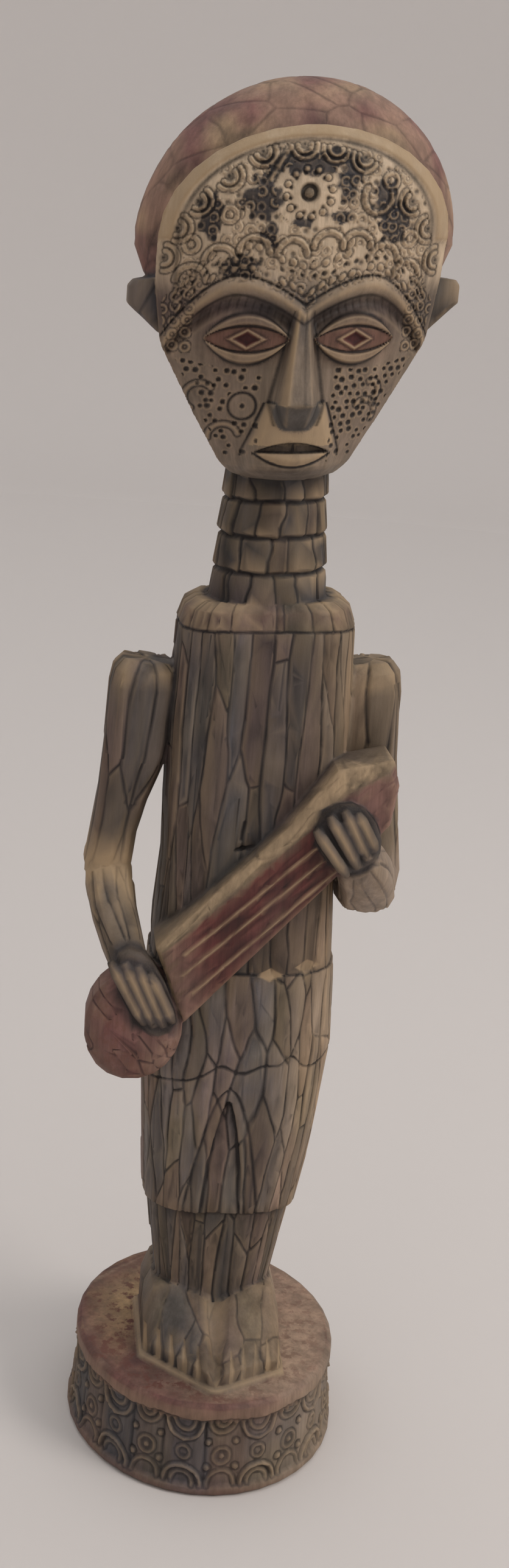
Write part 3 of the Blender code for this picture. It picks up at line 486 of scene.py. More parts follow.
def brow_height(across):
    """Lower edge of the brow band."""
    inner = np.clip((BROW_PEAK_X - across) / BROW_PEAK_X, 0.0, 1.0)
    outer = np.clip((across - BROW_PEAK_X) / (BROW_END_X - BROW_PEAK_X), 0.0, 1.0)
    near = BROW_PEAK_HEIGHT - (BROW_PEAK_HEIGHT - BROW_V_HEIGHT) * inner ** 1.7
    far = BROW_PEAK_HEIGHT - (BROW_PEAK_HEIGHT - BROW_END_HEIGHT) * outer ** 1.8
    return np.where(across < BROW_PEAK_X, near, far)


def band_inside(x, height):
    """How far inside the face's upper edge a point lies, less than zero outside it."""
    rise = np.maximum(0.0, height - FACE_SIDE_TOP) / (FACE_TOP - FACE_SIDE_TOP)
    out = np.hypot(x / FACE_OUTLINE[-1][1], rise)
    return (1.0 - out) * (FACE_TOP - FACE_SIDE_TOP)


class Marks:
    """What the carving does at each point: how far it lifts, and how it takes the colours."""

    def __init__(self, count):
        self.lift = np.zeros(count)
        self.ink_and_shade = np.zeros(count)
        self.pale = np.zeros(count)

    def add(self, lift=0.0, ink_and_shade=0.0, pale=0.0):
        self.lift += lift
        self.ink_and_shade = np.maximum(self.ink_and_shade, ink_and_shade)
        self.pale = np.maximum(self.pale, pale)

    def take(self, other, own):
        """Adds other marks at some of the points."""
        self.add(other.lift * own, other.ink_and_shade * own, other.pale * own)

    def mark_part(self, chosen, mark, x, height):
        """Works marks out for the chosen points only, and adds them."""
        part = Marks(int(chosen.sum()))
        mark(part, x[chosen], height[chosen])
        self.lift[chosen] += part.lift
        self.ink_and_shade[chosen] = np.maximum(self.ink_and_shade[chosen], part.ink_and_shade)
        self.pale[chosen] = np.maximum(self.pale[chosen], part.pale)


def ridge_mark(marks, distance, width, lift, ink_and_shade=0.56, pale=0.45):
    """A raised line with a dark cut along both its sides, distance being from its middle."""
    far = np.abs(distance)
    crest = hill(far, width * 0.9)
    cut = hill(far - width * 1.4, width * 0.7)
    marks.add(lift * crest - lift * 0.6 * cut, ink_and_shade * cut, pale * crest)


def cut_mark(marks, distance, width, depth, ink_and_shade=0.9):
    """A fine cut, dark inside."""
    cut = hill(distance, width)
    marks.add(-depth * cut, ink_and_shade * hill(distance, width * 1.25))


def bead_mark(marks, distance, radius, lift, ink_and_shade=0.6):
    """A raised bead with a dark moat, and its top painted pale as a highlight."""
    dome = np.sqrt(np.clip(1.0 - (distance / radius) ** 2, 0.0, 1.0))
    moat = hill(distance - radius * 1.3, radius * 0.55)
    marks.add(lift * dome - lift * 0.4 * moat, ink_and_shade * moat, 0.6 * dome ** 3)


def pit_mark(marks, distance, radius, depth, ink_and_shade=1.0):
    """A drilled pit with a worn rim."""
    bowl = np.clip(1.0 - (distance / radius) ** 2, 0.0, 1.0)
    rim = hill(distance - radius * 1.25, radius * 0.5)
    marks.add(-depth * bowl + depth * 0.2 * rim, ink_and_shade * np.sqrt(bowl), 0.16 * rim)


def arc_distance(x, height, centre, radius, low, high):
    """Distance from an arc of a circle whose ends are at the angles low and high."""
    angle = np.arctan2(height - centre[1], x - centre[0])
    turn = (angle - (low + high) / 2 + math.pi) % (2 * math.pi) - math.pi
    on_arc = np.abs(away(x, height, centre) - radius)
    ends = [away(x, height, on_circle(centre, radius, end)) for end in (low, high)]
    return np.where(np.abs(turn) <= (high - low) / 2, on_arc, np.minimum(*ends))


def brow_marks(marks, x, height):
    """The raised brow over a sunk, hatched socket."""
    across = np.abs(x)
    below = brow_height(across) - height
    fade = 1.0 - ramp(BROW_END_X - 3.0, BROW_END_X, across)
    band = hill(below + BROW_WIDTH / 2, BROW_WIDTH / 2 + 1.0) * fade
    socket = hill(below - SOCKET_WIDTH * 0.6, SOCKET_WIDTH * 0.8) * ramp(2.0, 5.0, across) * fade
    marks.add(BROW_RAISE * band - SOCKET_DEPTH * socket, 0.0, 0.5 * band)
    marks.add(0.0, 0.8 * hill(below - 0.4, 0.8) * fade)
    cut_mark(marks, within(fade > 0.2, below + BROW_WIDTH + 0.6), 0.8, 0.5)
    hatch = hill((across * 0.83 + height * 0.2) % 2.1 - 1.05, 0.5) * socket
    marks.add(-0.25 * hatch, 0.3 * hatch)


def eye_marks(marks, x, height):
    """Lens-shaped lids round a ball with a sunk diamond."""
    across = np.abs(x) - EYE_X
    up = height - EYE_HEIGHT
    share_along = across / EYE_HALF_LENGTH
    opening = EYE_HALF_OPENING * np.maximum(1e-6, 1.0 - share_along ** 2) ** 0.9
    inside = np.abs(share_along) < 0.995
    share = within(inside, np.abs(up) / opening)
    lid = ramp(0.52, 0.68, share) * (1.0 - ramp(0.92, 1.1, share))
    ball = 1.0 - ramp(0.5, 0.66, share)
    marks.add(LID_RAISE * lid + BALL_RAISE * ball, 0.0, np.where(up > 0, 0.1, 0.3) * lid)
    marks.add(-0.4 * hill(share - 0.56, 0.1), 0.95 * hill(share - 0.56, 0.12))
    marks.add(0.0, 0.8 * hill(share - 1.12, 0.16) * inside)
    diamond = np.abs(across) / DIAMOND_HALF_LENGTH + np.abs(up) / DIAMOND_HALF_HEIGHT
    marks.add(0.7 * hill(diamond - 1.0, 0.28), 0.0, 0.5 * hill(diamond - 1.0, 0.22))
    marks.add(-0.9 * (1.0 - ramp(0.5, 0.8, diamond)), 0.3 * (1.0 - ramp(0.45, 0.8, diamond)))
    marks.add(0.0, 0.6 * hill(diamond - 1.35, 0.2) * inside)
    return ball, diamond


def nose_lift(across, height):
    """The nose over the face, its share out from the ridge, and whether above the tip."""
    share_up = np.clip((NOSE_TOP - height) / (NOSE_TOP - NOSE_TIP_HEIGHT), 0.0, 1.0)
    upper = NOSE_TOP_RAISE + (NOSE_TIP_RAISE - NOSE_TOP_RAISE) * share_up ** 1.15
    upper = upper * ramp(NOSE_TOP + 2.0, NOSE_TOP - 3.0, height)
    upper_half = NOSE_TOP_HALF_WIDTH + (NOSE_TIP_HALF_WIDTH - NOSE_TOP_HALF_WIDTH) * share_up
    share_down = np.clip((height - NOSE_FOOT_HEIGHT) / (NOSE_TIP_HEIGHT - NOSE_FOOT_HEIGHT), 0.0, 1.0)
    lower = NOSE_TIP_RAISE * share_down + NOSE_FOOT_RAISE * (1.0 - share_down)
    lower = np.where(height > NOSE_FOOT_HEIGHT, lower, 0.0)
    lower_half = NOSE_TIP_HALF_WIDTH * (0.55 + 0.45 * np.sqrt(share_down))
    above = height > NOSE_TIP_HEIGHT
    lift = np.where(above, upper, lower)
    half = np.where(above, upper_half, lower_half)
    return lift * (1.0 - ramp(0.45, 1.0, across / half)), across / half, above


def under_nose(x, height):
    """The nose's flat underside, rounded below."""
    share = np.clip((height - NOSE_FOOT_HEIGHT) / (NOSE_TIP_HEIGHT - NOSE_FOOT_HEIGHT), 0.0, 1.0)
    half = NOSE_TIP_HALF_WIDTH * (0.3 + 0.86 * share ** 0.4)
    inside = 1.0 - ramp(0.86, 1.0, np.abs(x) / half)
    return inside * ramp(0.0, 0.08, share) * (height <= NOSE_TIP_HEIGHT + 0.6)


def muzzle_lift(across, height):
    """The raised field round the mouth, wider towards its foot."""
    share = np.clip((NOSE_TIP_HEIGHT - height) / (NOSE_TIP_HEIGHT - MOUTH_LINE), 0.0, 1.0)
    half = MUZZLE_TOP_HALF_WIDTH + (MUZZLE_HALF_WIDTH - MUZZLE_TOP_HALF_WIDTH) * share
    fade = ramp(MUZZLE_BOTTOM - 2.0, MUZZLE_BOTTOM + 1.5, height) * (height <= NOSE_TIP_HEIGHT)
    return MUZZLE_RAISE * (1.0 - ramp(0.75, 1.1, across / half)) * fade


def nose_and_mouth_marks(marks, x, height):
    """The wedge nose, the muzzle, the parted mouth and the lower lip."""
    across = np.abs(x)
    nose, share, above = nose_lift(across, height)
    muzzle = muzzle_lift(across, height)
    marks.add(np.maximum(nose, muzzle))
    on_nose = above & (share < 1.0) & (height < NOSE_TOP)
    marks.add(0.0, 0.85 * hill(share - 1.08, 0.16) * (height < NOSE_TOP) * (height > NOSE_FOOT_HEIGHT + 2.0))
    marks.add(0.0, 0.6 * hill(x / np.maximum(across / np.maximum(share, 1e-6), 1e-6) - 0.2, 0.12) * on_nose)
    marks.add(0.0, 0.0, 0.8 * hill(share - 0.55, 0.3) * on_nose * (x < 0))
    pale_muzzle = ramp(0.3, 1.6, muzzle) * (height > MOUTH_TOP - 1.0) * (1.0 - under_nose(x, height))
    marks.add(0.0, 0.0, 0.8 * pale_muzzle)
    side = np.clip((NOSE_TIP_HEIGHT - height) / (NOSE_TIP_HEIGHT - MOUTH_LINE), 0.0, 1.0)
    edge = MUZZLE_TOP_HALF_WIDTH + (MUZZLE_HALF_WIDTH - MUZZLE_TOP_HALF_WIDTH) * side
    in_reach = (height < NOSE_TIP_HEIGHT) & (height > MOUTH_LINE - 2.0)
    cut_mark(marks, within(in_reach, across - edge * 1.06), 0.7, 0.4)
    lens = np.maximum(0.0, 1.0 - (across / MOUTH_HALF_WIDTH) ** 2)
    top = MOUTH_LINE + (MOUTH_TOP - MOUTH_LINE) * lens
    bottom = MOUTH_LINE - (MOUTH_LINE - MOUTH_BOTTOM) * lens
    upper = (height >= MOUTH_LINE) & (height <= top) & (lens > 0)
    lower = (height >= bottom) & (height < MOUTH_LINE) & (lens > 0)
    marks.add(np.where(upper, -MOUTH_DEPTH * 0.7 * np.minimum(1.0, lens * 2.0), 0.0), 0.4 * upper)
    from_middle = (height - (MOUTH_LINE + bottom) / 2) / np.maximum(MOUTH_LINE - bottom, 0.5)
    lip = LIP_RAISE * lens * hill(from_middle, 0.8)
    marks.add(np.where(lower, lip, 0.0), 0.0, 0.7 * lower * ramp(0.05, 0.3, lens))
    reach = within(lens > 0, height - top)
    marks.add(0.0, 0.95 * hill(reach, 0.7))
    marks.add(0.0, 0.95 * hill(within(lens > 0, height - MOUTH_LINE), 0.55))
    cut_mark(marks, within(across < MOUTH_HALF_WIDTH + 0.6, height - bottom + 0.5), 0.7, 0.5)


def rosette_marks(marks, x, height):
    for place in range(ROSETTE_BEADS):
        angle = 2.0 * math.pi * (place + 0.3) / ROSETTE_BEADS
        bead_mark(marks, away(x, height, on_circle(ROSETTE, ROSETTE_RADIUS, angle)), 0.9, 0.8)
        pit = on_circle(ROSETTE, ROSETTE_RADIUS - 1.2, angle + 0.12)
        pit_mark(marks, away(x, height, pit), 0.8, 0.4, 0.8)
    far = away(x, height, ROSETTE)
    marks.add(-1.0 * (1.0 - ramp(2.4, 3.4, far)), 0.85 * (1.0 - ramp(2.2, 3.7, far)))
    bead_mark(marks, far, 1.5, 1.3, 0.9)


def forehead_marks(marks, x, height):
    """The raised band, the rosette, and the arches, hanging arcs, rings and lines about it."""
    inside = band_inside(x, height)
    upper = ramp(FACE_SIDE_TOP - 26.0, FACE_SIDE_TOP - 10.0, height)
    band = 1.0 - ramp(BAND_WIDTH * 0.8, BAND_WIDTH * 1.3, inside)
    band = band * ramp(-2.0, 0.0, height - FACE_SIDE_TOP)
    marks.add(BAND_RAISE * band, 0.0, 0.85 * band)
    marks.add(0.0, 0.7 * hill(inside - BAND_WIDTH * 1.35, 1.0) * upper)
    rosette_marks(marks, x, height)
    for centre in SCALLOPS:
        foot = (centre[0], centre[1] - 2.0)
        ridge_mark(marks, arc_distance(x, height, foot, 4.7, 0.05, math.pi - 0.05), 0.85, 0.8)
    for centre in HANGINGS:
        turn = math.atan2(centre[1] - FACE_SIDE_TOP + 10.0, centre[0])
        for radius in (4.0, 2.2):
            arc = arc_distance(x, height, centre, radius, turn + math.pi * 0.52, turn + math.pi * 1.48)
            ridge_mark(marks, arc, 0.75, 0.7)
        far = away(x, height, centre)
        marks.add(-0.5 * hill(far, 1.6), 0.9 * hill(far, 2.2))
    for centre in RINGS:
        ridge_mark(marks, away(x, height, centre) - 2.2, 0.7, 0.6)
    slant = (x - BAR[0]) * 0.86 - (height - BAR[1]) * 0.5
    run = (x - BAR[0]) * 0.5 + (height - BAR[1]) * 0.86
    ridge_mark(marks, within(np.abs(run) < 6.0, slant), 0.9, 0.7)
    loop = arc_distance(x, height, LOOP, 4.6, math.pi * 0.8, math.pi * 2.1)
    ridge_mark(marks, loop, 0.9, 0.8)
    fill_marks(marks, x, height, inside)


def fill_marks(marks, x, height, inside):
    """Small pits and rings in what the larger marks leave free."""
    column = np.floor(x / FILL_PITCH)
    row = np.floor(height / FILL_PITCH)
    far = away(x, height, strewn(column, row, FILL_PITCH, FILL_PITCH, 0.5, 68))
    free = (marks.ink_and_shade < 0.25) & (away(x, height, ROSETTE) > ROSETTE_RADIUS + 3.0)
    free &= inside > BAND_WIDTH + 1.5
    kind = scatter(column, row, 70)
    pit_mark(marks, within(free & (kind < 0.3), far), 1.0, 0.5, 0.5)
    ridge_mark(marks, within(free & (kind > 0.5), far - 1.35), 0.55, 0.5, 0.32, 0.35)


def bead_rows(marks, x, height):
    """Two broken rows of beads over the brows, with a row of drilled dots between them."""
    across = np.abs(x)
    over = height - brow_height(across) - BROW_WIDTH
    for row, (lift_off, pitch) in enumerate(BEAD_ROWS):
        cell = np.floor(x / pitch)
        centre = (cell + 0.5 + 0.25 * (scatter(cell, cell * 0, 31 + row) - 0.5)) * pitch
        lifted = lift_off + 1.2 * (scatter(cell, cell * 0, 41 + row) - 0.5)
        lifted = lifted + 2.2 * hill(across, 8.0) * (row < 2)
        shown = (scatter(cell, cell * 0, 51 + row) < 0.86) & (across < 41.0)
        far = within(shown, np.hypot(x - centre, over - lifted))
        if row == 1:
            pit_mark(marks, far, 0.95, 0.6, 0.85)
        else:
            bead_mark(marks, far, 1.05, 0.7)


def cheek_marks(marks, x, height):
    """Drilled pits in loose rows over the cheeks, a few rings and arcs, and curls at the temples."""
    across = np.abs(x)
    edge = face_half_width(height)
    rise = CHEEK_PITCH * 0.8
    row = np.floor(height / rise)
    slide = (row % 2) * 0.5
    column = np.floor(across / CHEEK_PITCH + slide)
    centre, middle = strewn(column, row, CHEEK_PITCH, rise, 0.5, 61)
    far = away(across, height, (centre - slide * CHEEK_PITCH, middle))
    ring = away(x, height, CHEEK_RING)
    under_eye = EYE_HEIGHT - 9.4 + 3.0 * np.clip((across - EYE_X) / 20.0, -1, 1) ** 2
    in_cheek = (height < under_eye) & (across > 11.5) & (across < edge - 2.5) & (height > 338.0)
    density = np.where(x > 0, 0.78, 0.5) * ramp(336.0, 352.0, height) + 0.2
    in_cheek &= scatter(column, row, 63) < density
    in_cheek &= ring >= CHEEK_RING_RADIUS + 1.1
    size = 0.72 + 0.4 * scatter(column, row, 64)
    pit_mark(marks, within(in_cheek, far / size), 1.0, 0.75)
    near_ring = in_cheek | (ring < CHEEK_RING_RADIUS + 1.7)
    cut_mark(marks, within(near_ring, ring - CHEEK_RING_RADIUS), 0.75, 0.5)
    pit_mark(marks, ring, 0.9, 0.5)
    for centre, radius, low, high in CHEEK_ARCS:
        ridge_mark(marks, arc_distance(x, height, centre, radius, low, high), 0.8, 0.6, 0.8, 0.35)
    temple = (across > 34.0) & (height > 376.0) & (height < 402.0) & (across < edge - 1.5)
    column = np.floor(across / 4.2)
    row = np.floor(height / 4.0)
    far = away(across, height, strewn(column, row, 4.2, 4.0, 0.3, 66))
    ridge_mark(marks, within(temple, far - 1.35), 0.55, 0.55)


def face_base(x, height):
    """The bare shield of the face, and how far out each point lies on it."""
    share = np.clip(np.abs(x) / np.maximum(face_half_width(height), 0.5), 0.0, 1.0)
    middle = along(FACE_MIDDLE, height)
    edge = along(FACE_EDGE, height)
    return edge + (middle - edge) * (1.0 - share ** FACE_ROUNDNESS), share


def carve_face(surface):
    """Sets the face's front to its full relief, as a depth for each place across and up."""
    x = surface.x - FACE_X
    height = surface.height
    base, share = face_base(x, height)
    marks = Marks(len(x))
    brow_marks(marks, x, height)
    ball, diamond = eye_marks(marks, x, height)
    nose_and_mouth_marks(marks, x, height)
    brow_top = brow_height(np.abs(x)) + BROW_WIDTH
    forehead = surface.on("face") & (height > brow_top - 1.0)
    marks.mark_part(forehead, forehead_marks, x, height)
    marks.mark_part(forehead, bead_rows, x, height)
    marks.mark_part(surface.on("face") & (height < brow_top + 12.0), cheek_marks, x, height)
    return base, share, marks, ball, diamond


def body_gauge(x, y, height):
    """Distance from the skin of legs, skirt and torso."""
    centre, wide, deep, power = (along(BODY, height, column) for column in range(1, 5))
    gauge = (np.abs((x - centre) / wide) ** power + np.abs(y / deep) ** power) ** (1.0 / power)
    distance = np.hypot(x - centre, y) * (1.0 - 1.0 / np.maximum(gauge, 1e-3))
    return within((height >= BODY[0][0]) & (height <= BODY[-1][0] + 0.5), distance)


def girth(dx, dy, wide, deep):
    """Distance run round a boxy section, zero at the middle of the front."""
    big = np.maximum(np.maximum(np.abs(dx / wide), np.abs(dy / deep)), 1e-6)
    across = dx / wide / big
    back = dy / deep / big
    front = np.where(back <= -0.9999, wide * across, 0.0)
    side = np.sign(dx) * (wide + deep * (back + 1.0))
    rear = np.sign(dx) * (wide + 2 * deep + wide * (1.0 - np.abs(across)))
    return np.where(back <= -0.9999, front, np.where(back < 0.9999, side, rear))


def limb(x, y, height, stations):
    """Distance from a limb's skin, distance run along it, and angle round it."""
    points = np.column_stack((x, y, height))
    best = np.full(len(x), np.inf)
    run_along = np.zeros(len(x))
    angle = np.zeros(len(x))
    run = 0.0
    for first, second in zip(stations, stations[1:]):
        start = np.array(first[:3])
        step = np.array(second[:3]) - start
        length = np.linalg.norm(step)
        course = step / length
        share = np.clip((points - start) @ course / length, 0.0, 1.0)
        off = points - start - share[:, None] * step
        radius = first[3] + (second[3] - first[3]) * share
        distance = np.linalg.norm(off, axis=1) - radius
        across = np.array((1.0, 0.0, 0.0)) if abs(course[0]) < 0.8 else np.array((0.0, 0.0, 1.0))
        across = across - course * (across @ course)
        across /= np.linalg.norm(across)
        upright = np.cross(course, across)
        nearer = distance < best
        best = np.where(nearer, distance, best)
        run_along = np.where(nearer, run + share * length, run_along)
        angle = np.where(nearer, np.arctan2(off @ upright, off @ across), angle)
        run += length
    return best, run_along, angle


def fingers(x, y, height, hand, front):
    """Distance from the nearest of the fingers."""
    best = np.full(len(x), np.inf)
    for (start_x, start_h), (end_x, end_h) in hand:
        stations = ((start_x, front, start_h, FINGER_RADIUS), (end_x, front, end_h, FINGER_RADIUS))
        distance, _, _ = limb(x, y, height, stations)
        best = np.minimum(best, distance)
    return best


def hand_gauge(x, y, height, hand, front):
    """Distance from the oval pad that the fingers lie on."""
    starts = np.array([start for start, _ in hand])
    ends = np.array([end for _, end in hand])
    middle = (starts.mean(axis=0) + ends.mean(axis=0)) / 2
    course = ends.mean(axis=0) - starts.mean(axis=0)
    course = course / np.linalg.norm(course)
    sideways = np.array((-course[1], course[0]))
    both = np.vstack((starts, ends)) - middle
    half_length = np.abs(both @ course).max() + FINGER_RADIUS / 2
    half_width = np.abs(both @ sideways).max() + FINGER_RADIUS
    off = np.column_stack((x, height)) - middle
    out = np.hypot(off @ course / half_length, off @ sideways / half_width)
    return np.maximum((out - 1.0) * half_width, np.maximum(front - y, y - front - HAND_DEPTH))


def board_place(x, height):
    """Run along the instrument's board and offset across it."""
    return turned(x - BOARD_MIDDLE[0], height - BOARD_MIDDLE[1], BOARD_ANGLE)


def board_gauge(x, y, height):
    """Distance from the instrument's board."""
    run, offset = board_place(x, height)
    lower = along(BOARD_LOWER, run)
    upper = along(BOARD_UPPER, run)
    worst = np.maximum(lower - offset, offset - upper)
    for gap in (BOARD_LOWER[0][0] - run, run - BOARD_LOWER[-1][0], BOARD_FRONT - y, y - BOARD_BACK):
        worst = np.maximum(worst, gap)
    return worst


def bowl_gauge(x, y, height):
    """Distance from the instrument's bowl."""
    out = bowl_out(x, height) - along(BOWL_PROFILE, y)
    return np.maximum(out * BOWL_HALF_WIDTH, BOWL_PROFILE[0][0] - y)


def bowl_out(x, height):
    """How far out from the bowl's middle a point lies, 1 at its rim."""
    return np.hypot((x - BOWL_X) / BOWL_HALF_WIDTH, (height - BOWL_HEIGHT) / BOWL_HALF_HEIGHT)


def feet_front(x):
    """The front edge of the feet, a swept point."""
    sweep = np.where(x < 0, FEET_LEFT_SWEEP, FEET_RIGHT_SWEEP)
    return FEET_TIP + sweep * np.maximum(0.0, np.abs(x) - 1.5)


NAMES = ("plinth_side", "plinth_top", "feet", "body", "neck", "skull", "face", "ear", "left_upper_arm",
         "left_forearm", "right_upper_arm", "right_forearm", "hand", "board", "bowl")


class Surface:
    """The carved block's points in its own millimetres, and which mass each belongs to."""

    def __init__(self, points):
        self.places = level(points)
        self.x = self.places[:, 0]
        self.y = self.places[:, 1]
        self.height = self.places[:, 2]
        self.far = {name: np.full(len(points), FAR) for name in NAMES}
        self.middle = (self.height > ARMS_BOTTOM) & (self.height < ARMS_TOP)
        self.find_plinth_and_body()
        self.find_head()
        self.find_arms()
        self.find_hands()
        self.choose_masses()

    def on(self, name):
        """Which points belong to a mass."""
        return self.mass == NAMES.index(name)

    def cloud(self, size, seed):
        """Smooth noise over the block, from -1 to 1."""
        return cloud(self.places, size, seed)

    def find_plinth_and_body(self):
        x, y, height, far = self.x, self.y, self.height, self.far
        turned_x, turned_y = turned(x, y, PLINTH_TURN)
        self.turn = np.arctan2(turned_y / PLINTH_HALF_DEPTH, turned_x / PLINTH_HALF_WIDTH)
        out = np.hypot(turned_x / PLINTH_HALF_WIDTH, turned_y / PLINTH_HALF_DEPTH)
        self.out = out
        side = np.where(height < -0.4, 0.0, within(height < 0.3, (PLINTH_EDGE - out) * 50.0))
        far["plinth_side"] = within(height <= 0.8, np.abs(side) * (out < PLINTH_EDGE))
        far["plinth_top"] = within((height < 1.2) & (out < PLINTH_EDGE + 0.005), np.abs(height) * 0.9)
        body = body_gauge(x, y, height)
        far["body"] = np.abs(body)
        in_feet = (height < 28.0) & (y < 14.0) & (np.abs(x) < 32.0) & (height > -0.2)
        far["feet"] = within(in_feet & (body > 0.9), 0.4)

    def find_head(self):
        x, y, height, far = self.x, self.y, self.height, self.far
        neck = np.hypot(x - NECK_X, y - NECK_Y) - NECK_RADIUS
        far["neck"] = within((height > NECK_BOTTOM) & (height < NECK_TOP + 6.0), np.abs(neck) * 0.5)
        base, share = face_base(x - FACE_X, height)
        on_front = (height > FACE_BOTTOM + 0.3) & (height < FACE_TOP) & (share < FACE_RIM) & (y < base + 4.5)
        far["face"] = within(on_front, 0.0)
        head = (height > FACE_BOTTOM - 2.0) & ~on_front
        far["skull"] = within(head, 1.4)
        in_ear = head & (height > EAR_BOTTOM - 1.0) & (height < EAR_TOP + 1.0)
        in_ear &= (np.abs(x - FACE_X) > EAR_ROOT_X) & (np.abs(y) < EAR_HALF_DEPTH)
        far["ear"] = within(in_ear, 0.2)

    def find_arms(self):
        """The arms, with the distance run along each and the angle round it."""
        self.runs = {}
        for name, stations in ARMS.items():
            distance, run, angle = limb(self.x, self.y, self.height, stations)
            self.far[name] = within(self.middle, np.abs(distance))
            self.runs[name] = (run, angle)

    def find_hands(self):
        """The fingers and the pads under them, and the instrument that they hold."""
        x, y, height, far = self.x, self.y, self.height, self.far
        self.finger = np.full(len(x), FAR)
        for hand, front in ((LEFT_FINGERS, LEFT_HAND_FRONT), (RIGHT_FINGERS, RIGHT_HAND_FRONT)):
            pad = hand_gauge(x, y, height, hand, front)
            near = self.middle & (pad < 4.0)
            distance = np.full(len(x), FAR)
            distance[near] = fingers(x[near], y[near], height[near], hand, front)
            self.finger = np.minimum(self.finger, distance)
            own = np.minimum(np.maximum(np.abs(distance) - 0.7, 0.0), within(self.middle, np.abs(pad)))
            far["hand"] = np.minimum(far["hand"], own)
        far["board"] = within(self.middle, np.abs(board_gauge(x, y, height)))
        far["bowl"] = within(self.middle, np.abs(bowl_gauge(x, y, height)))

    def choose_masses(self):
        """Gives each point the nearest mass, and how clearly it is the nearest."""
        table = np.column_stack([self.far[name] for name in NAMES])
        self.mass = table.argmin(axis=1)
        ordered = np.sort(table, axis=1)
        self.parting = ordered[:, 1] - ordered[:, 0]
        self.run = np.zeros(len(self.x))
        self.angle = np.zeros(len(self.x))
        for name, (run, angle) in self.runs.items():
            own = self.on(name)
            self.run[own] = run[own]
            self.angle[own] = angle[own]


def hew(marks, shade, chosen, across, up, size, seed, depth=0.45, width=0.8, tilt=0.03, step=0.3, ink_and_shade=0.7,
        unevenness=0.8):
    """Facets with their own slant and depth, parted by fine dark cuts."""
    cells = facets(across[chosen], up[chosen], size, seed, unevenness)
    joint = cells["joint"]
    places = np.column_stack((across, up, up * 0.0))[chosen]
    thick = 0.75 + 0.6 * cloud(places, (4.0, 11.0, 1.0), seed + 3)
    smudge = ramp(0.0, 0.7, cloud(places, (9.0, 22.0, 1.0), seed + 5))
    free = ramp(0.1, width * 1.8, joint)
    turn, nod, drop = ((pick - 0.5) * 2.0 for pick in cells["pick"][:3])
    lift = free * (turn * tilt * 2.2 * cells["side"] + nod * tilt * 0.35 * cells["rise"] + drop * step)
    marks.lift[chosen] += np.clip(lift, -0.9, 0.9) - depth * hill(joint, width)
    dark = np.maximum(ink_and_shade * hill(joint, width * (0.35 + thick)), 0.62 * ink_and_shade * smudge * hill(joint, 3.6))
    marks.ink_and_shade[chosen] = np.maximum(marks.ink_and_shade[chosen], dark)
    shade[chosen] = cells["pick"][3]


def carve_body(surface, marks, shade):
    """Long facets down the torso, shorter ones over the skirt, and narrow ones on the legs."""
    x, y, height = surface.x, surface.y, surface.height
    own = surface.on("body")
    round_it = girth(x - along(BODY, height, 1), y, BODY_HALF_WIDTH, BODY_HALF_DEPTH)
    # A slow sideways drift keeps the cuts from running dead straight
    drift = 2.0 * surface.cloud((14.0, 14.0, 34.0), 5) + 0.45 * surface.cloud((5.0, 5.0, 8.0), 7)
    rise = height + 3.0 * surface.cloud((10.0, 10.0, 12.0), 6)
    torso = own & (height > BELT) & (height < CHEST)
    hew(marks, shade, torso, round_it + drift * 1.5, rise, TORSO_FACET, 101, unevenness=0.95)
    scratch = facets(round_it + drift, rise, TORSO_SCRATCH, 103, 0.95)
    fine_cut = hill(scratch["joint"], 0.55) * (scratch["pick"][0] > 0.55) * own
    marks.add(-0.12 * fine_cut, 0.42 * fine_cut)
    bevel = own & (height >= CHEST)
    hew(marks, shade, bevel, round_it + drift, height * 0 + 3.0, BEVEL_FACET, 111, 0.4, 0.8, 0.04, 0.35, 0.5)
    skirt = own & (height <= BELT) & (height > HEM)
    hew(marks, shade, skirt, round_it + drift * 1.6, rise, SKIRT_FACET, 121, 0.5, 0.9, unevenness=0.95)
    legs = own & (height <= HEM)
    hew(marks, shade, legs, round_it + drift * 0.8, height, LEG_FACET, 131, unevenness=0.9)
    line_marks(marks, own, x, y, height, drift)


def line_marks(marks, own, x, y, height, drift):
    """The belt line, the bevel under the neck, the hem, the arches between the thighs and the navel."""
    wave = drift * 0.35
    front = own & (y < -8.0)
    part = Marks(len(x))
    cut_mark(part, height - BELT + wave, 0.9, 0.5)
    cut_mark(part, height - CHEST + wave, 0.9, 0.5)
    cut_mark(part, height - HEM + wave * 0.5, 1.0, 0.3)
    ripple = height - RIPPLE + 2.4 * np.sin(x / 4.3 + drift) + 1.6 * drift - 0.16 * x
    cut_mark(part, within(front, ripple), 0.9, 0.45)
    for arch_top, arch_width in ARCHES:
        arch_half = arch_width * np.sqrt(np.clip((arch_top - height) / 50.0, 0.0, 1.0))
        in_arch = front & (height < arch_top + 1.0) & (height > HEM)
        cut_mark(part, within(in_arch, np.abs(x + 1.0 + wave) - arch_half), 1.0, 0.5, 0.8)
    dx = x - NAVEL[0]
    dh = height - NAVEL[1]
    upright = np.hypot(dx - 0.12 * dh, np.maximum(np.abs(dh) - 3.0, 0.0))
    level_cut = np.hypot(np.maximum(np.abs(dx - 2.0) - 4.0, 0.0), dh + 5.6 - 0.25 * x)
    for slit in (upright, level_cut):
        cut_mark(part, within(front, slit), 1.1, 0.9)
    marks.take(part, own)
    for centre_x, centre_h in BELT_LEAVES:
        leaf_gauge = np.abs(x - centre_x) / 5.2 + np.abs(height - centre_h) / 2.7
        leaf = front * (1.0 - ramp(0.85, 1.05, leaf_gauge))
        marks.ink_and_shade *= 1.0 - leaf
        marks.add(-0.4 * leaf, 0.8 * front * hill(leaf_gauge - 1.16, 0.16), leaf)


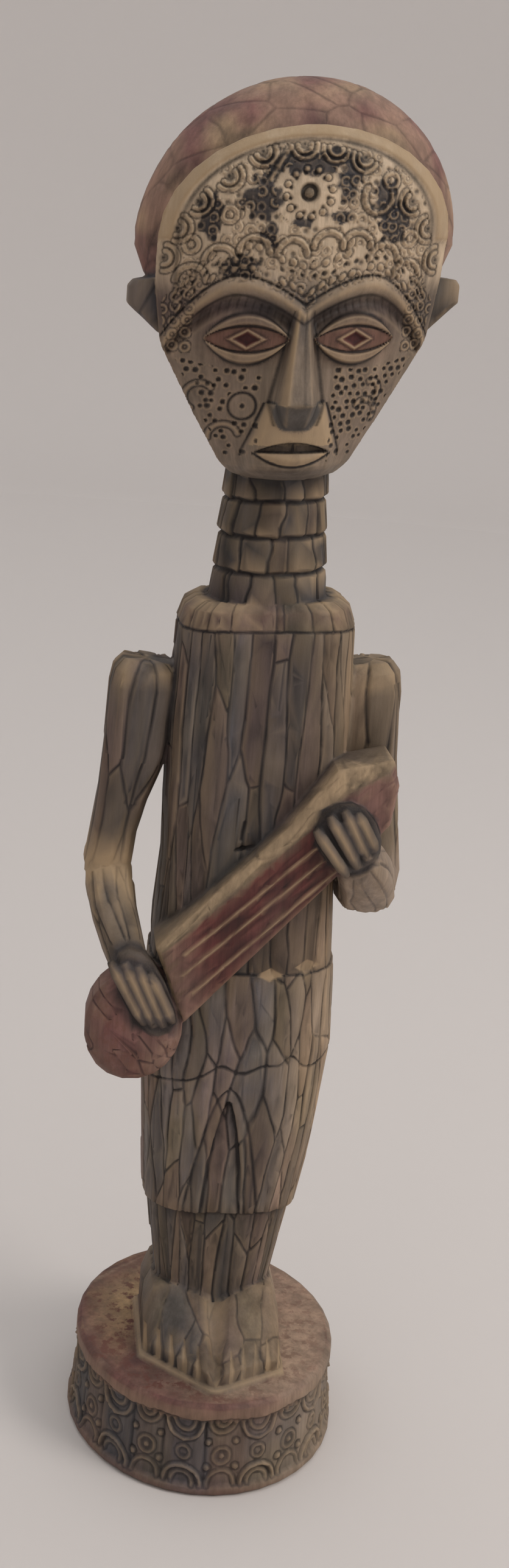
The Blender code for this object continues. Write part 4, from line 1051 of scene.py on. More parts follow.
def carve_neck(surface, marks, shade):
    """Stacked rings with upright facets, dark between them, worn along their edges, and with a painted
    highlight under each joint on the right.
    """
    own = surface.on("neck")
    x = surface.x - NECK_X
    height = surface.height
    turn = np.arctan2(x, NECK_Y - surface.y) * NECK_RADIUS
    drift = 2.2 * surface.cloud((8.0, 8.0, 6.0), 34)
    ring = np.digitize(height, NECK_JOINTS)
    for number in range(len(NECK_JOINTS) + 1):
        hew(marks, shade, own & (ring == number), turn + 3.7 * number + drift, height * 0 + 4.0,
            NECK_FACET, 141 + number, 0.5, 0.8, 0.05, 0.25, 0.7, 0.95)
    worn = ramp(-0.4, 0.4, surface.cloud((6.0, 6.0, 6.0), 93))
    for joint in NECK_JOINTS:
        over = height - joint + 0.5 * np.sin(turn / 7.0 + joint)
        # Painted highlight: pale just under each joint, on the right side only
        lip = 0.7 * hill(over + 2.0, 1.3) * ramp(-6.0, 10.0, x)
        edge = 0.6 * worn * hill(height - joint - 1.9, 1.0)
        marks.add(0.0, 0.9 * hill(over, 1.3) * own, np.maximum(lip, edge) * own)


def carve_limbs(surface, marks, shade):
    """Long facets down the arms, with the elbows and shoulder caps rubbed pale."""
    for number, name in enumerate(ARMS):
        around = surface.angle * 10.5 + 2.0 * surface.cloud((12.0, 12.0, 26.0), 15 + number)
        ink_and_shade = 0.3 if name == "right_forearm" else 0.75
        hew(marks, shade, surface.on(name), around, surface.run, ARM_FACET, 151 + 5 * number, 0.4, 0.75,
            ink_and_shade=ink_and_shade, unevenness=0.95)
    from_elbow = surface.height - ELBOW_HEIGHT
    worn = surface.cloud((6.0, 6.0, 9.0), 36)
    elbow = (surface.on("left_forearm") | surface.on("left_upper_arm")) & (np.abs(from_elbow) < 15.0)
    marks.ink_and_shade[elbow] *= 0.4
    marks.add(pale=elbow * hill(from_elbow, 15.0) ** 0.5 * ramp(-0.9, 0.0, worn))
    marks.ink_and_shade[surface.on("right_upper_arm") & (from_elbow < 5.0)] *= 0.35
    cap = (surface.on("left_upper_arm") | surface.on("right_upper_arm")) & (surface.height > 262.0)
    marks.add(pale=0.6 * cap * ramp(-0.3, 0.5, worn))


def carve_hands(surface, marks):
    """Light knuckles with dark cuts between them."""
    own = surface.on("hand")
    front = np.where(surface.x < 0, LEFT_HAND_FRONT, RIGHT_HAND_FRONT)
    proud = (front - surface.y) / FINGER_RADIUS
    on_finger = surface.finger < 0.6
    marks.ink_and_shade[own] = np.where(on_finger, 0.92 * (1.0 - ramp(0.3, 0.72, proud)), 0.6)[own]
    marks.pale[own] = (0.7 * ramp(0.66, 0.94, proud) * on_finger)[own]


def carve_instrument(surface, marks):
    """Scratches and raised strings on the board's front, and cuts round the bowl."""
    run, offset = board_place(surface.x, surface.height)
    part = Marks(len(run))
    scratch = facets(offset + 0.9 * surface.cloud((8.0, 8.0, 8.0), 25), run, BOARD_SCRATCH, 181, 0.95)
    shown = scratch["pick"][0] > 0.4
    part.add(-0.15 * hill(scratch["joint"], 0.35), 0.5 * hill(scratch["joint"], 0.3) * shown,
             0.35 * hill(scratch["side"], 0.5) * (scratch["pick"][1] > 0.72))
    for (start_run, start_off), (end_run, end_off) in STRINGS:
        share = (run - start_run) / (end_run - start_run)
        middle = start_off + (end_off - start_off) * share
        distance = np.abs(within((share > -0.02) & (share < 1.02), offset - middle))
        part.ink_and_shade *= ramp(0.6, 1.2, distance)
        part.add(0.0, 0.75 * hill(distance - 1.7, 0.7), 0.7 * hill(distance, 0.95))
    part.add(0.0, 0.6 * hill(offset - along(BOARD_FACE_TOP, run), 0.5))
    marks.take(part, surface.on("board") & (surface.y < BOARD_FRONT + 5.0))
    bowl = surface.on("bowl")
    across, up = turned(surface.x, surface.height, BOWL_GRAIN)
    cells = facets(across, up, BOWL_SCRATCH, 191)
    scratches = hill(cells["joint"], 0.6) * (cells["pick"][0] > 0.6) * bowl
    marks.add(-0.3 * scratches, 0.5 * scratches)
    marks.add(0.0, 0.5 * bowl * hill(bowl_out(surface.x, surface.height) - 0.95, 0.06))


def carve_feet(surface, marks, shade):
    """Toes parted by pale slits, and a pale valley between the feet."""
    own = surface.on("feet")
    x, y, height = surface.x, surface.y, surface.height
    across = x + 1.6 * surface.cloud((9.0, 9.0, 9.0), 28)
    hew(marks, shade, own & (height >= 2.4), across, y, FEET_FACET, 201, 0.3, 0.6, 0.03, 0.2, 0.5, 0.95)
    from_tip = y - feet_front(x)
    pitch = (FEET_HALF_WIDTH - 2.0) / TOES_PER_FOOT
    place = (np.abs(x) - 1.5) / pitch
    between = np.abs(place - np.round(place)) * pitch
    counted = (np.round(place) > 0.5) & (np.round(place) < TOES_PER_FOOT + 0.5)
    slit_half = 0.95 * np.clip(1.0 - from_tip / TOE_LENGTH, 0.0, 1.0)
    shown = counted & (from_tip > -0.6) & (from_tip < TOE_LENGTH) & (height > 2.2) & (height < 12.0) & own
    slit = shown * (1.0 - ramp(slit_half * 0.7, slit_half + 0.25, between))
    marks.ink_and_shade *= 1.0 - slit
    marks.add(-0.5 * slit, 0.8 * shown * hill(between - slit_half - 0.7, 0.8), 0.85 * slit)
    half = 0.8 + 5.4 * ramp(-2.0, 28.0, from_tip)
    off = np.abs(x - 0.6)
    wedge = own * (1.0 - ramp(0.9, 1.05, off / half)) * (height > 2.4)
    marks.ink_and_shade *= 1.0 - wedge
    marks.add(0.0, 0.75 * own * hill(off - half - 0.4, 0.8) * (height > 3.0), 0.45 * wedge)
    marks.pale[own & (height < 2.4)] = 0.5


def carve_plinth(surface, marks, shade):
    """Hanging loops under the rim, arches over the foot, and rings, beads and uprights between them."""
    own = surface.on("plinth_side")
    part = Marks(int(own.sum()))
    pitch = 2.0 * math.pi / PLINTH_MOTIFS
    place = surface.turn[own] / pitch
    high = surface.height[own] + PLINTH_TALL + 0.5 * np.sin(place * 7.0)
    radius = (PLINTH_HALF_WIDTH + PLINTH_HALF_DEPTH) / 2 + 1.5
    cell = np.floor(place)
    side = (place - cell - 0.5) * pitch * radius
    between = (place - np.round(place)) * pitch * radius
    for across, loops in ((side, SIDE_LOOPS), (between, BETWEEN_LOOPS)):
        for centre_high, size, start in loops:
            arc = arc_distance(across, high, (0.0, centre_high), size, start, start + math.pi)
            ridge_mark(part, arc, 0.9, 0.55, 0.42, 0.3)
    for across, (centre_high, size) in ((side, SIDE_RING), (between, BETWEEN_RING)):
        ridge_mark(part, away(across, high, (0.0, centre_high)) - size, 0.8, 0.5, 0.42, 0.25)
    bead_mark(part, away(between, high, (0.0, BETWEEN_RING[0])), 1.2, 0.6, 0.4)
    for off, centre_high, size in SIDE_BEADS:
        bead_mark(part, away(np.abs(side), high, (off, centre_high)), size, 0.8, 0.6)
    in_panel = (high > PLINTH_BAND) & (high < RIM_FOOT - 1.0)
    in_panel &= scatter(cell, cell * 0, 73) > 0.45
    cut_mark(part, within(in_panel, np.abs(side) - DIVIDER), 1.2, 0.5, 0.7)
    cut_mark(part, high - RIM_FOOT, 0.9, 0.4, 0.6)
    wear = ramp(-0.6, 0.4, surface.cloud((7.0, 7.0, 7.0), 92)[own])
    marks.lift[own] += part.lift
    marks.ink_and_shade[own] = np.maximum(marks.ink_and_shade[own], part.ink_and_shade * (0.4 + 0.6 * wear))
    marks.pale[own] = np.maximum(marks.pale[own], part.pale * (0.3 + 0.7 * wear))
    panel = np.floor(place * 2.0 + 0.3)
    shade[own] = scatter(panel, panel * 0, 75)


def carve_skull(surface, marks, shade):
    """Broad veined patches over the hair, and painted shadow, partly broken into patches, just outside the
    face's upper edge.
    """
    own = surface.on("skull") | surface.on("ear")
    height = surface.height
    cells = facets(surface.x + 4.0 * surface.cloud((16.0, 16.0, 16.0), 35),
                   height + surface.y * 0.8, HAIR_FACET, 211, 0.95)
    vein = hill(cells["joint"], 0.9)
    swell = 0.25 * (cells["pick"][2] - 0.5) * ramp(0.0, 3.0, cells["joint"])
    marks.add((swell - 0.12 * vein) * own, 0.5 * vein * own)
    shade[own] = cells["pick"][3][own]
    x = surface.x - FACE_X
    outside = -band_inside(x, height)
    # Painted shadow in the step between the face's rim and the hair, carried as dark marks
    gap_shadow_cell = np.floor(np.arctan2(height - FACE_SIDE_TOP, x) * 9.0)
    near = own & (outside < 3.0) & (surface.y < -4.0) & (height > FACE_SIDE_TOP - 4.0)
    painted_gap_shadow = (scatter(gap_shadow_cell, gap_shadow_cell * 0, 77) > 0.45) * hill(outside - 0.6, 1.8)
    marks.add(0.0, np.maximum(0.85 * painted_gap_shadow, 0.55 * hill(outside - 0.2, 1.0)) * near)
    marks.add(0.0, 0.15 * (own & (height < 384.0)))


def remeshed(node):
    """An even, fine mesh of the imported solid."""
    mesh = node.data.copy()
    piece = bpy.data.objects.new("carved_musician", mesh)
    bpy.context.scene.collection.objects.link(piece)
    remesh = piece.modifiers.new("even", 'REMESH')
    remesh.mode = 'VOXEL'
    remesh.voxel_size = VOXEL
    settle(piece)
    return piece


def settle(piece):
    """Replaces a piece's mesh by what its modifiers make of it."""
    graph = bpy.context.evaluated_depsgraph_get()
    mesh = bpy.data.meshes.new_from_object(piece.evaluated_get(graph))
    piece.modifiers.clear()
    piece.data = mesh


def read(items, key, width, kind=np.float32):
    """One value of every point, normal or edge of a mesh, a row each."""
    values = np.zeros(len(items) * width, kind)
    items.foreach_get(key, values)
    return values.reshape(-1, width)


def read_normals(mesh):
    return read(mesh.vertex_normals, "vector", 3).astype(float)


def write_points(mesh, points):
    mesh.vertices.foreach_set("co", points.astype(np.float32).ravel())
    mesh.update()


def smoothed(values, edges, rounds, share=0.5):
    """Each point's values drawn towards the mean of its neighbours', a number of times over."""
    count = len(values)
    links = np.bincount(edges[:, 0], minlength=count) + np.bincount(edges[:, 1], minlength=count)
    links = np.maximum(links, 1)
    result = values.copy()
    for _ in range(rounds):
        for column in range(values.shape[1]):
            total = np.bincount(edges[:, 0], result[edges[:, 1], column], count)
            total += np.bincount(edges[:, 1], result[edges[:, 0], column], count)
            result[:, column] += share * (total / links - result[:, column])
    return result


def write_number(mesh, name, values):
    attribute = mesh.attributes.new(name, 'FLOAT', 'POINT')
    attribute.data.foreach_set("value", values.astype(np.float32))


def write_colour(mesh, name, values):
    attribute = mesh.attributes.new(name, 'FLOAT_COLOR', 'POINT')
    full = np.column_stack((values, np.ones(len(values))))
    attribute.data.foreach_set("color", full.astype(np.float32).ravel())


def blend(colours, other, share):
    """Colours with another laid over them by its share."""
    share = np.clip(share, 0.0, 1.0)[:, None]
    return colours * (1.0 - share) + linear(other) * share


def paint(surface, marks, shade, ball, diamond):
    """The wash over the wood: cool in the middle of the front as a painted reflection, warm to the sides, by
    facet and by patch, and paler on the right as painted light.
    """
    x, y, height = surface.x, surface.y, surface.height
    places = surface.places
    patch = cloud(places, (22.0, 22.0, 40.0), 81)
    fine = cloud(places, (7.0, 7.0, 16.0), 82)
    speckle = cloud(places, (1.6, 3.0, 1.6), 87)
    colours = np.tile(linear(WASH), (len(x), 1))
    # Painted reflection: a cool blue-grey down the middle of the front
    painted_cool_reflection = hill(x + 4.0, 32.0) * ramp(40.0, 200.0, height) * (y < 0)
    colours = blend(colours, WASH_COOL, 0.8 * painted_cool_reflection * (0.75 + 0.25 * patch))
    colours = blend(colours, WASH_WARM, 0.55 * ramp(0.0, 0.6, patch))
    colours = blend(colours, WASH_OLIVE, 0.65 * ramp(0.0, 0.6, -fine))
    hue = (shade * 7.31) % 1.0
    colours = blend(colours, WASH_COOL, 0.38 * (hue < 0.34) * (y < 4.0))
    colours = blend(colours, WASH_WARM, 0.45 * (hue > 0.72))
    colours = blend(colours, MAUVE, 0.45 * (hue > 0.5) * ramp(-0.5, 0.4, patch))
    colours *= (1.0 + 0.2 * cloud(places, (10.0, 10.0, 16.0), 94))[:, None]
    # Painted light: the right side of the body, the right upper arm and the feet paler, as lit from the
    # right
    lit_side = surface.on("body") | surface.on("right_upper_arm") | surface.on("feet")
    colours = blend(colours, PALE, 0.34 * ramp(8.0, 30.0, x) * lit_side)
    colours *= (0.66 + 0.62 * shade)[:, None]
    colours *= (1.0 + 0.48 * surface.on("body") * (height < BELT) * (height > HEM))[:, None]
    colours *= (1.0 - 0.45 * surface.on("neck"))[:, None]
    # Painted light: the feet paler towards the right
    colours = blend(colours, PALE, 0.3 * surface.on("feet") * ramp(4.0, 14.0, x))
    band = surface.on("body") * hill(height - CHEST - 5.0, 4.0)
    colours = blend(colours, CHEST_BAND, 0.5 * band)
    colours *= (1.0 + 0.16 * speckle)[:, None]
    paint_face(surface, colours, ball, diamond, fine, speckle)
    paint_head(surface, colours, fine)
    paint_instrument(surface, colours, fine)
    paint_plinth(surface, colours, shade, patch, fine, speckle)
    pale_parts(surface, marks, fine)
    return colours


def pale_parts(surface, marks, fine):
    """Where the wash is rubbed away to light wood over a whole region, and a painted highlight down the
    right side of the torso's front.
    """
    x, height = surface.x, surface.height
    body = surface.on("body")
    chest = body * np.maximum(ramp(CHEST + 4.0, CHEST + 8.0, height), hill(height - CHEST - 2.0, 1.8))
    # Painted highlight down the right edge of the torso's front
    painted_highlight_strip = body * ramp(25.0, 29.0, x) * (height > BELT) * (surface.y < 0)
    marks.add(pale=0.75 * chest * ramp(-0.8, 0.1, fine))
    marks.add(pale=0.45 * painted_highlight_strip * ramp(-0.6, 0.3, fine))
    marks.add(pale=0.25 * surface.on("left_forearm") * ramp(-0.3, 0.5, fine))


def paint_face(surface, colours, ball, diamond, fine, speckle):
    """The pale forehead with its stains, the darker cheeks, and the eyes."""
    height = surface.height
    x = surface.x - FACE_X
    face = surface.on("face").astype(float)
    tint = colours.copy()
    tint = blend(tint, FOREHEAD, 0.9 * face * ramp(FACE_SIDE_TOP - 22.0, FACE_SIDE_TOP - 6.0, height))
    tint = blend(tint, CHEEK, 0.7 * face * (1.0 - ramp(374.0, 392.0, height)))
    for stain_x, stain_h, half_x, half_h in STAINS:
        far = np.hypot((x - stain_x) / half_x, (height - stain_h) / half_h)
        ragged = far + 0.6 * speckle + 0.3 * fine
        tint = blend(tint, STAIN_BLUE, 0.95 * face * (1.0 - ramp(0.9, 1.25, ragged)))
    eye = face * ramp(0.1, 0.6, ball)
    near_eye = face * hill(height - EYE_HEIGHT, 9.5) ** 0.5 * hill(np.abs(x) - EYE_X, 15.5) ** 0.5
    tint = blend(tint, EYE_ROUND, 0.6 * near_eye)
    tint = blend(tint, EYE, 0.9 * eye)
    tint = blend(tint, PUPIL, 0.9 * eye * (1.0 - ramp(0.6, 0.95, diamond)))
    # Painted shade: the nose's underside dark grey, as it faces down
    tint = blend(tint, STONE, 0.95 * face * under_nose(x, height))
    chin = face * (1.0 - ramp(MOUTH_BOTTOM - 2.5, MOUTH_BOTTOM + 0.5, height)) * hill(x, 24.0)
    tint = blend(tint, STONE, 0.6 * chin)
    colours[:] = tint


def paint_head(surface, colours, fine):
    """The veined hair and the ears."""
    height = surface.height
    places = surface.places
    skull = surface.on("skull").astype(float)
    crown = skull * ramp(386.0, 402.0, height)
    tint = blend(colours, CREST, 0.94 * crown)
    tint = blend(tint, CREST_PALE, crown * ramp(-0.1, 0.5, cloud(places, (13.0, 13.0, 13.0), 83)))
    tint = blend(tint, PLUM, crown * 0.85 * ramp(0.05, 0.5, cloud(places, (9.0, 9.0, 15.0), 84)))
    tint = blend(tint, STONE, 0.6 * skull * (1.0 - ramp(380.0, 396.0, height)))
    ear = surface.on("ear") * (surface.y < 2.0)
    tint = blend(tint, WASH_COOL, 0.8 * ear * (surface.x < 0))
    tint = blend(tint, PALE, 0.6 * ear * (surface.x > 0) * ramp(-0.5, 0.5, fine))
    colours[:] = tint


def paint_instrument(surface, colours, fine):
    """The red board with its pale edge and head, the bowl, the hands and the elbow."""
    x, y = surface.x, surface.y
    run, offset = board_place(x, surface.height)
    front = surface.on("board") & (y < BOARD_FRONT + 5.0)
    face_top = along(BOARD_FACE_TOP, run)
    on_face = front * (1.0 - ramp(-0.6, 0.2, offset - face_top))
    red = on_face * (1.0 - ramp(26.0, 40.0, run)) * (1.0 - 0.25 * ramp(0.0, 0.8, fine))
    tint = blend(colours, RED_BROWN, 0.92 * red)
    tint = blend(tint, BOARD_HEAD, 0.9 * on_face * ramp(34.0, 44.0, run))
    foot = on_face * (1.0 - ramp(-48.0, -24.0, run + 5.0 * fine - 0.5 * offset))
    tint = blend(tint, PALE_PINK, 0.6 * foot)
    tint = blend(tint, PALE, 0.9 * front * ramp(-0.4, 0.6, offset - face_top))
    tint = blend(tint, WASH, 0.5 * surface.on("board") * (y >= BOARD_FRONT + 5.0))
    bowl = surface.on("bowl").astype(float)
    tint = blend(tint, PLUM, 0.8 * bowl)
    tint = blend(tint, RED_BROWN, 0.7 * bowl * hill(x - BOWL_X, 16.0) * ramp(-0.2, 0.5, fine))
    tint = blend(tint, PALE_PINK, 0.45 * bowl * ramp(-38.0, -24.0, x + 6.0 * fine))
    hand = surface.on("hand").astype(float)
    tint = blend(tint, HAND, 0.75 * hand)
    low_arm = surface.on("right_upper_arm") & (surface.height < ELBOW_HEIGHT + 5.0)
    elbow = surface.on("right_forearm") | low_arm
    tint = blend(tint, ELBOW, 0.8 * elbow)
    colours[:] = tint


def paint_plinth(surface, colours, shade, patch, fine, speckle):
    """The mottled top, the rim's band and line, and the dark panels of the side."""
    x = surface.x
    top = surface.on("plinth_top").astype(float)
    tint = blend(colours, PLINTH_TOP, 0.95 * top)
    tint = blend(tint, OCHRE, 0.9 * top * ramp(-6.0, -30.0, x) * ramp(-0.7, 0.1, fine))
    grit = surface.cloud((3.4, 5.0, 4.0), 85) + 0.6 * speckle
    tint = blend(tint, RUST, 0.85 * top * ramp(0.4, 0.55, grit + 0.35 * hill(x + 34.0, 20.0)))
    turn = np.degrees(np.arctan2(surface.y, x))
    stain = ramp(-182.0, -160.0, turn) * (1.0 - ramp(-118.0, -92.0, turn)) * (turn < 0)
    stain *= ramp(0.62, 0.70, surface.out + 0.10 * fine + 0.05 * grit)
    tint = blend(tint, TOP_STAIN, 0.85 * top * stain)
    side = surface.on("plinth_side")
    high = surface.height + PLINTH_TALL
    rim = ramp(RIM_FOOT - 0.8, RIM_FOOT, high)
    panel = side * (1.0 - rim)
    tint = blend(tint, RIM_BAND, 0.85 * side * rim)
    edge = np.maximum(side, top) * hill(high - PLINTH_TALL + 0.8, 2.2) * ramp(0.95, 0.97, surface.out)
    tint = blend(tint, RIM_LINE, 0.85 * edge * ramp(-0.9, 0.0, fine))
    tint = blend(tint, NIGHT, 0.85 * panel * ramp(0.35, 0.6, shade + 0.25 * fine))
    tint = blend(tint, WASH_OLIVE, 0.5 * panel * ramp(0.1, 0.6, -patch))
    tint = blend(tint, PLINTH_FOOT, 0.5 * panel * (1.0 - ramp(2.0, 6.0, high)))
    tint *= (1.0 + 0.45 * panel)[:, None]
    # Painted light: the plinth's side paler towards the right
    colours[:] = blend(tint, PLINTH_LIT, 0.65 * side * ramp(10.0, 42.0, x))


def rounded_dome(surface, points):
    """Draws the flat sides of the hair's dome out to a true curve."""
    places = surface.places.copy()
    middle = np.array((DOME_X, DOME_Y, DOME_HEIGHT))
    off = places - middle
    gauge = np.sqrt((off[:, 0] / DOME_HALF_WIDTH) ** 2 + (off[:, 1] / DOME_HALF_DEPTH) ** 2
                    + (off[:, 2] / DOME_RISE) ** 2)
    share = surface.on("skull") * ramp(0.0, 6.0, off[:, 2]) * ramp(0.93, 0.97, gauge)
    full = middle + off / np.maximum(gauge, 0.5)[:, None]
    places += share[:, None] * (full - places)
    return np.where((share > 0)[:, None], unlevel(places), points)


def carve_masses(surface, marks, shade):
    carve_body(surface, marks, shade)
    carve_neck(surface, marks, shade)
    carve_limbs(surface, marks, shade)
    carve_hands(surface, marks)
    carve_instrument(surface, marks)
    carve_feet(surface, marks, shade)
    carve_plinth(surface, marks, shade)
    carve_skull(surface, marks, shade)


def carve(piece):
    """Moves the mesh's points to the carving, writes its finish on them, and thins it."""
    mesh = piece.data
    edges = read(mesh.edges, "vertices", 2, np.int32)
    points = smoothed(read(mesh.vertices, "co", 3).astype(float), edges, 2)
    write_points(mesh, points)
    normals = read_normals(mesh)
    surface = Surface(points)
    marks = Marks(len(points))
    shade = np.full(len(points), 0.5)
    carve_masses(surface, marks, shade)
    base, share, face, ball, diamond = carve_face(surface)
    on_face = surface.on("face")
    marks.ink_and_shade[on_face] = face.ink_and_shade[on_face]
    marks.pale[on_face] = face.pale[on_face]
    marks.lift *= np.where(on_face, 0.0, ramp(0.0, 1.2, surface.parting))
    worn = ramp(-0.75, 0.15, surface.cloud((8.0, 8.0, 12.0), 91))
    marks.ink_and_shade *= np.where(on_face, 0.75 + 0.25 * worn, 0.35 + 0.65 * worn)
    moved = rounded_dome(surface, points) + normals * (marks.lift * UNIT)[:, None]
    places = surface.places.copy()
    places[:, 1] += on_face * ramp(FACE_RIM, FACE_RIM - 0.04, share) * (base - face.lift - places[:, 1])
    moved = np.where(on_face[:, None], unlevel(places), moved)
    write_points(mesh, moved)
    write_colour(mesh, "wash", paint(surface, marks, shade, ball, diamond))
    write_number(mesh, "ink_and_shade", marks.ink_and_shade)
    write_number(mesh, "pale", marks.pale)
    write_dirt_shade_wear_and_rust(mesh, surface, marks, moved, edges)
    thin(piece, on_face)


def write_dirt_shade_wear_and_rust(mesh, surface, marks, moved, edges):
    """Where the relief is hollow, to be darkened as dirt and painted shade, or proud of what is round it,
    and where rust may show.
    """
    normals = read_normals(mesh)
    near = smoothed(moved, edges, 5)
    wide = smoothed(near, edges, 24)
    bulge = ((moved - near) * normals).sum(axis=1) / UNIT
    swell = ((moved - wide) * normals).sum(axis=1) / UNIT
    hollow = np.clip(-bulge * 9.0, 0.0, 1.0) * 0.6 + np.clip(-swell * 1.6, 0.0, 1.0) * 0.4
    hollow *= (1.0 - 0.25 * surface.on("face")) * (1.0 - 0.85 * np.clip(marks.pale, 0.0, 1.0))
    write_number(mesh, "hollow", hollow)
    crest = np.clip(bulge * 8.0, 0.0, 1.0) * 0.6 + np.clip(swell * 1.3, 0.0, 1.0) * 0.4
    side = surface.on("plinth_side")
    top = surface.on("plinth_top")
    rim = (side | top) * hill(surface.height + 0.8, 2.4)
    write_number(mesh, "crest", crest * (1.0 - 0.45 * side) * (1.0 - rim))
    rust = top * (0.4 + 0.6 * ramp(20.0, -30.0, surface.x))
    write_number(mesh, "rust", np.maximum(rust, 0.45 * surface.on("bowl")))


def thin(piece, on_face):
    """Fewer triangles, with most of them left where the carving is finest."""
    group = piece.vertex_groups.new(name="fine")
    group.add(np.flatnonzero(~on_face).tolist(), 1.0, 'REPLACE')
    group.add(np.flatnonzero(on_face).tolist(), FACE_THINNING, 'REPLACE')
    decimate = piece.modifiers.new("thin", 'DECIMATE')
    decimate.ratio = TRIANGLES / (2.0 * len(piece.data.polygons))
    decimate.vertex_group = "fine"
    decimate.vertex_group_factor = 1.0
    decimate.use_collapse_triangulate = True
    settle(piece)
    piece.vertex_groups.clear()
    piece.data.shade_smooth()


def link(tree, start, end):
    tree.links.new(start, end)


def wood_material():
    """The wash, rust, light edges and marks that are partly wear and partly painted highlight, dark cuts
    with some painted shadow, and hollows darkened as dirt and painted shade, all from the mesh and from
    noise.
    """
    material = bpy.data.materials.new("washed_wood")
    material.use_nodes = True
    tree = material.node_tree
    nodes = tree.nodes
    shader = nodes["Principled BSDF"]
    place = nodes.new("ShaderNodeTexCoord").outputs["Object"]

    def attribute(name, kind):
        node = nodes.new("ShaderNodeAttribute")
        node.attribute_name = name
        return node.outputs[kind]

    def noise(scale, size, detail=4.0, roughness=0.6):
        mapping = nodes.new("ShaderNodeMapping")
        mapping.inputs["Scale"].default_value = scale
        link(tree, place, mapping.inputs["Vector"])
        node = nodes.new("ShaderNodeTexNoise")
        node.inputs["Scale"].default_value = size
        node.inputs["Detail"].default_value = detail
        node.inputs["Roughness"].default_value = roughness
        link(tree, mapping.outputs["Vector"], node.inputs["Vector"])
        return node.outputs["Fac"]

    def math_node(operation, first, second, clamp=False):
        node = nodes.new("ShaderNodeMath")
        node.operation = operation
        node.use_clamp = clamp
        for number, value in enumerate((first, second)):
            if isinstance(value, (int, float)):
                node.inputs[number].default_value = value
            else:
                link(tree, value, node.inputs[number])
        return node.outputs[0]

    def spread(value, low, high, out_low=0.0, out_high=1.0):
        node = nodes.new("ShaderNodeMapRange")
        node.interpolation_type = 'SMOOTHSTEP'
        limits = {"From Min": low, "From Max": high, "To Min": out_low, "To Max": out_high}
        for name, number in limits.items():
            node.inputs[name].default_value = number
        link(tree, value, node.inputs["Value"])
        return node.outputs["Result"]

    def mix(first, second, share, kind='MIX'):
        node = nodes.new("ShaderNodeMix")
        node.data_type = 'RGBA'
        node.blend_type = kind
        for name, value in (("Factor", share), ("A", first), ("B", second)):
            kind_of = 'VALUE' if name == "Factor" else 'RGBA'
            socket = [entry for entry in node.inputs if entry.name == name and entry.type == kind_of][0]
            if isinstance(value, (int, float)):
                socket.default_value = value
            elif isinstance(value, tuple):
                socket.default_value = (*value, 1.0)
            else:
                link(tree, value, socket)
        return [entry for entry in node.outputs if entry.type == 'RGBA'][0]

    grain = noise((1.0, 1.0, 0.10), 900.0, 5.0, 0.65)
    streak = noise((1.0, 1.0, 0.05), 260.0, 3.0, 0.55)
    speck = noise((1.0, 1.0, 1.0), 1500.0, 3.0, 0.7)
    mottle = noise((1.0, 1.0, 0.5), 120.0, 4.0, 0.6)
    colour = attribute("wash", "Color")
    ink_and_shade = attribute("ink_and_shade", "Fac")
    pale = attribute("pale", "Fac")
    hollow = attribute("hollow", "Fac")
    crest = attribute("crest", "Fac")
    value = spread(streak, 0.3, 0.7, 0.80, 1.16)
    value = math_node('MULTIPLY', value, spread(grain, 0.25, 0.75, 0.86, 1.12))
    value = math_node('MULTIPLY', value, spread(mottle, 0.3, 0.7, 0.86, 1.12))
    combine = nodes.new("ShaderNodeCombineColor")
    for name in ("Red", "Green", "Blue"):
        link(tree, value, combine.inputs[name])
    colour = mix(colour, combine.outputs["Color"], 1.0, 'MULTIPLY')
    blot = noise((1.0, 1.0, 1.0), 230.0, 5.0, 0.65)
    rust = math_node('MULTIPLY', attribute("rust", "Fac"), spread(blot, 0.50, 0.60))
    colour = mix(colour, tuple(linear(RUST)), rust)
    pale_share = math_node('MULTIPLY', pale, spread(mottle, 0.25, 0.6, 0.55, 1.0))
    pale_share = math_node('ADD', pale_share, math_node('MULTIPLY', crest, CREST_STRENGTH), True)
    colour = mix(colour, tuple(linear(PALE)), pale_share)
    dark = math_node('MULTIPLY', ink_and_shade, spread(speck, 0.2, 0.6, 0.7, 1.0))
    # Hollows darken as dirt and as painted shade
    dark = math_node('ADD', dark, math_node('MULTIPLY', hollow, HOLLOW_STRENGTH), True)
    colour = mix(colour, tuple(linear(INK_AND_SHADE)), math_node('MULTIPLY', dark, INK_AND_SHADE_STRENGTH))
    link(tree, colour, shader.inputs["Base Color"])
    link(tree, spread(mottle, 0.3, 0.7, 0.56, 0.74), shader.inputs["Roughness"])
    shader.inputs["Specular IOR Level"].default_value = SHEEN
    bump = nodes.new("ShaderNodeBump")
    bump.inputs["Strength"].default_value = BUMP_STRENGTH
    bump.inputs["Distance"].default_value = BUMP_DEPTH
    height = math_node('ADD', grain, math_node('MULTIPLY', speck, 0.5))
    link(tree, height, bump.inputs["Height"])
    link(tree, bump.outputs["Normal"], shader.inputs["Normal"])
    return material


def floor_material():
    material = bpy.data.materials.new("pale_floor")
    material.use_nodes = True
    shader = material.node_tree.nodes["Principled BSDF"]
    shader.inputs["Base Color"].default_value = (*linear(FLOOR_COLOUR), 1.0)
    shader.inputs["Roughness"].default_value = 0.9
    shader.inputs["Specular IOR Level"].default_value = 0.1
    return material


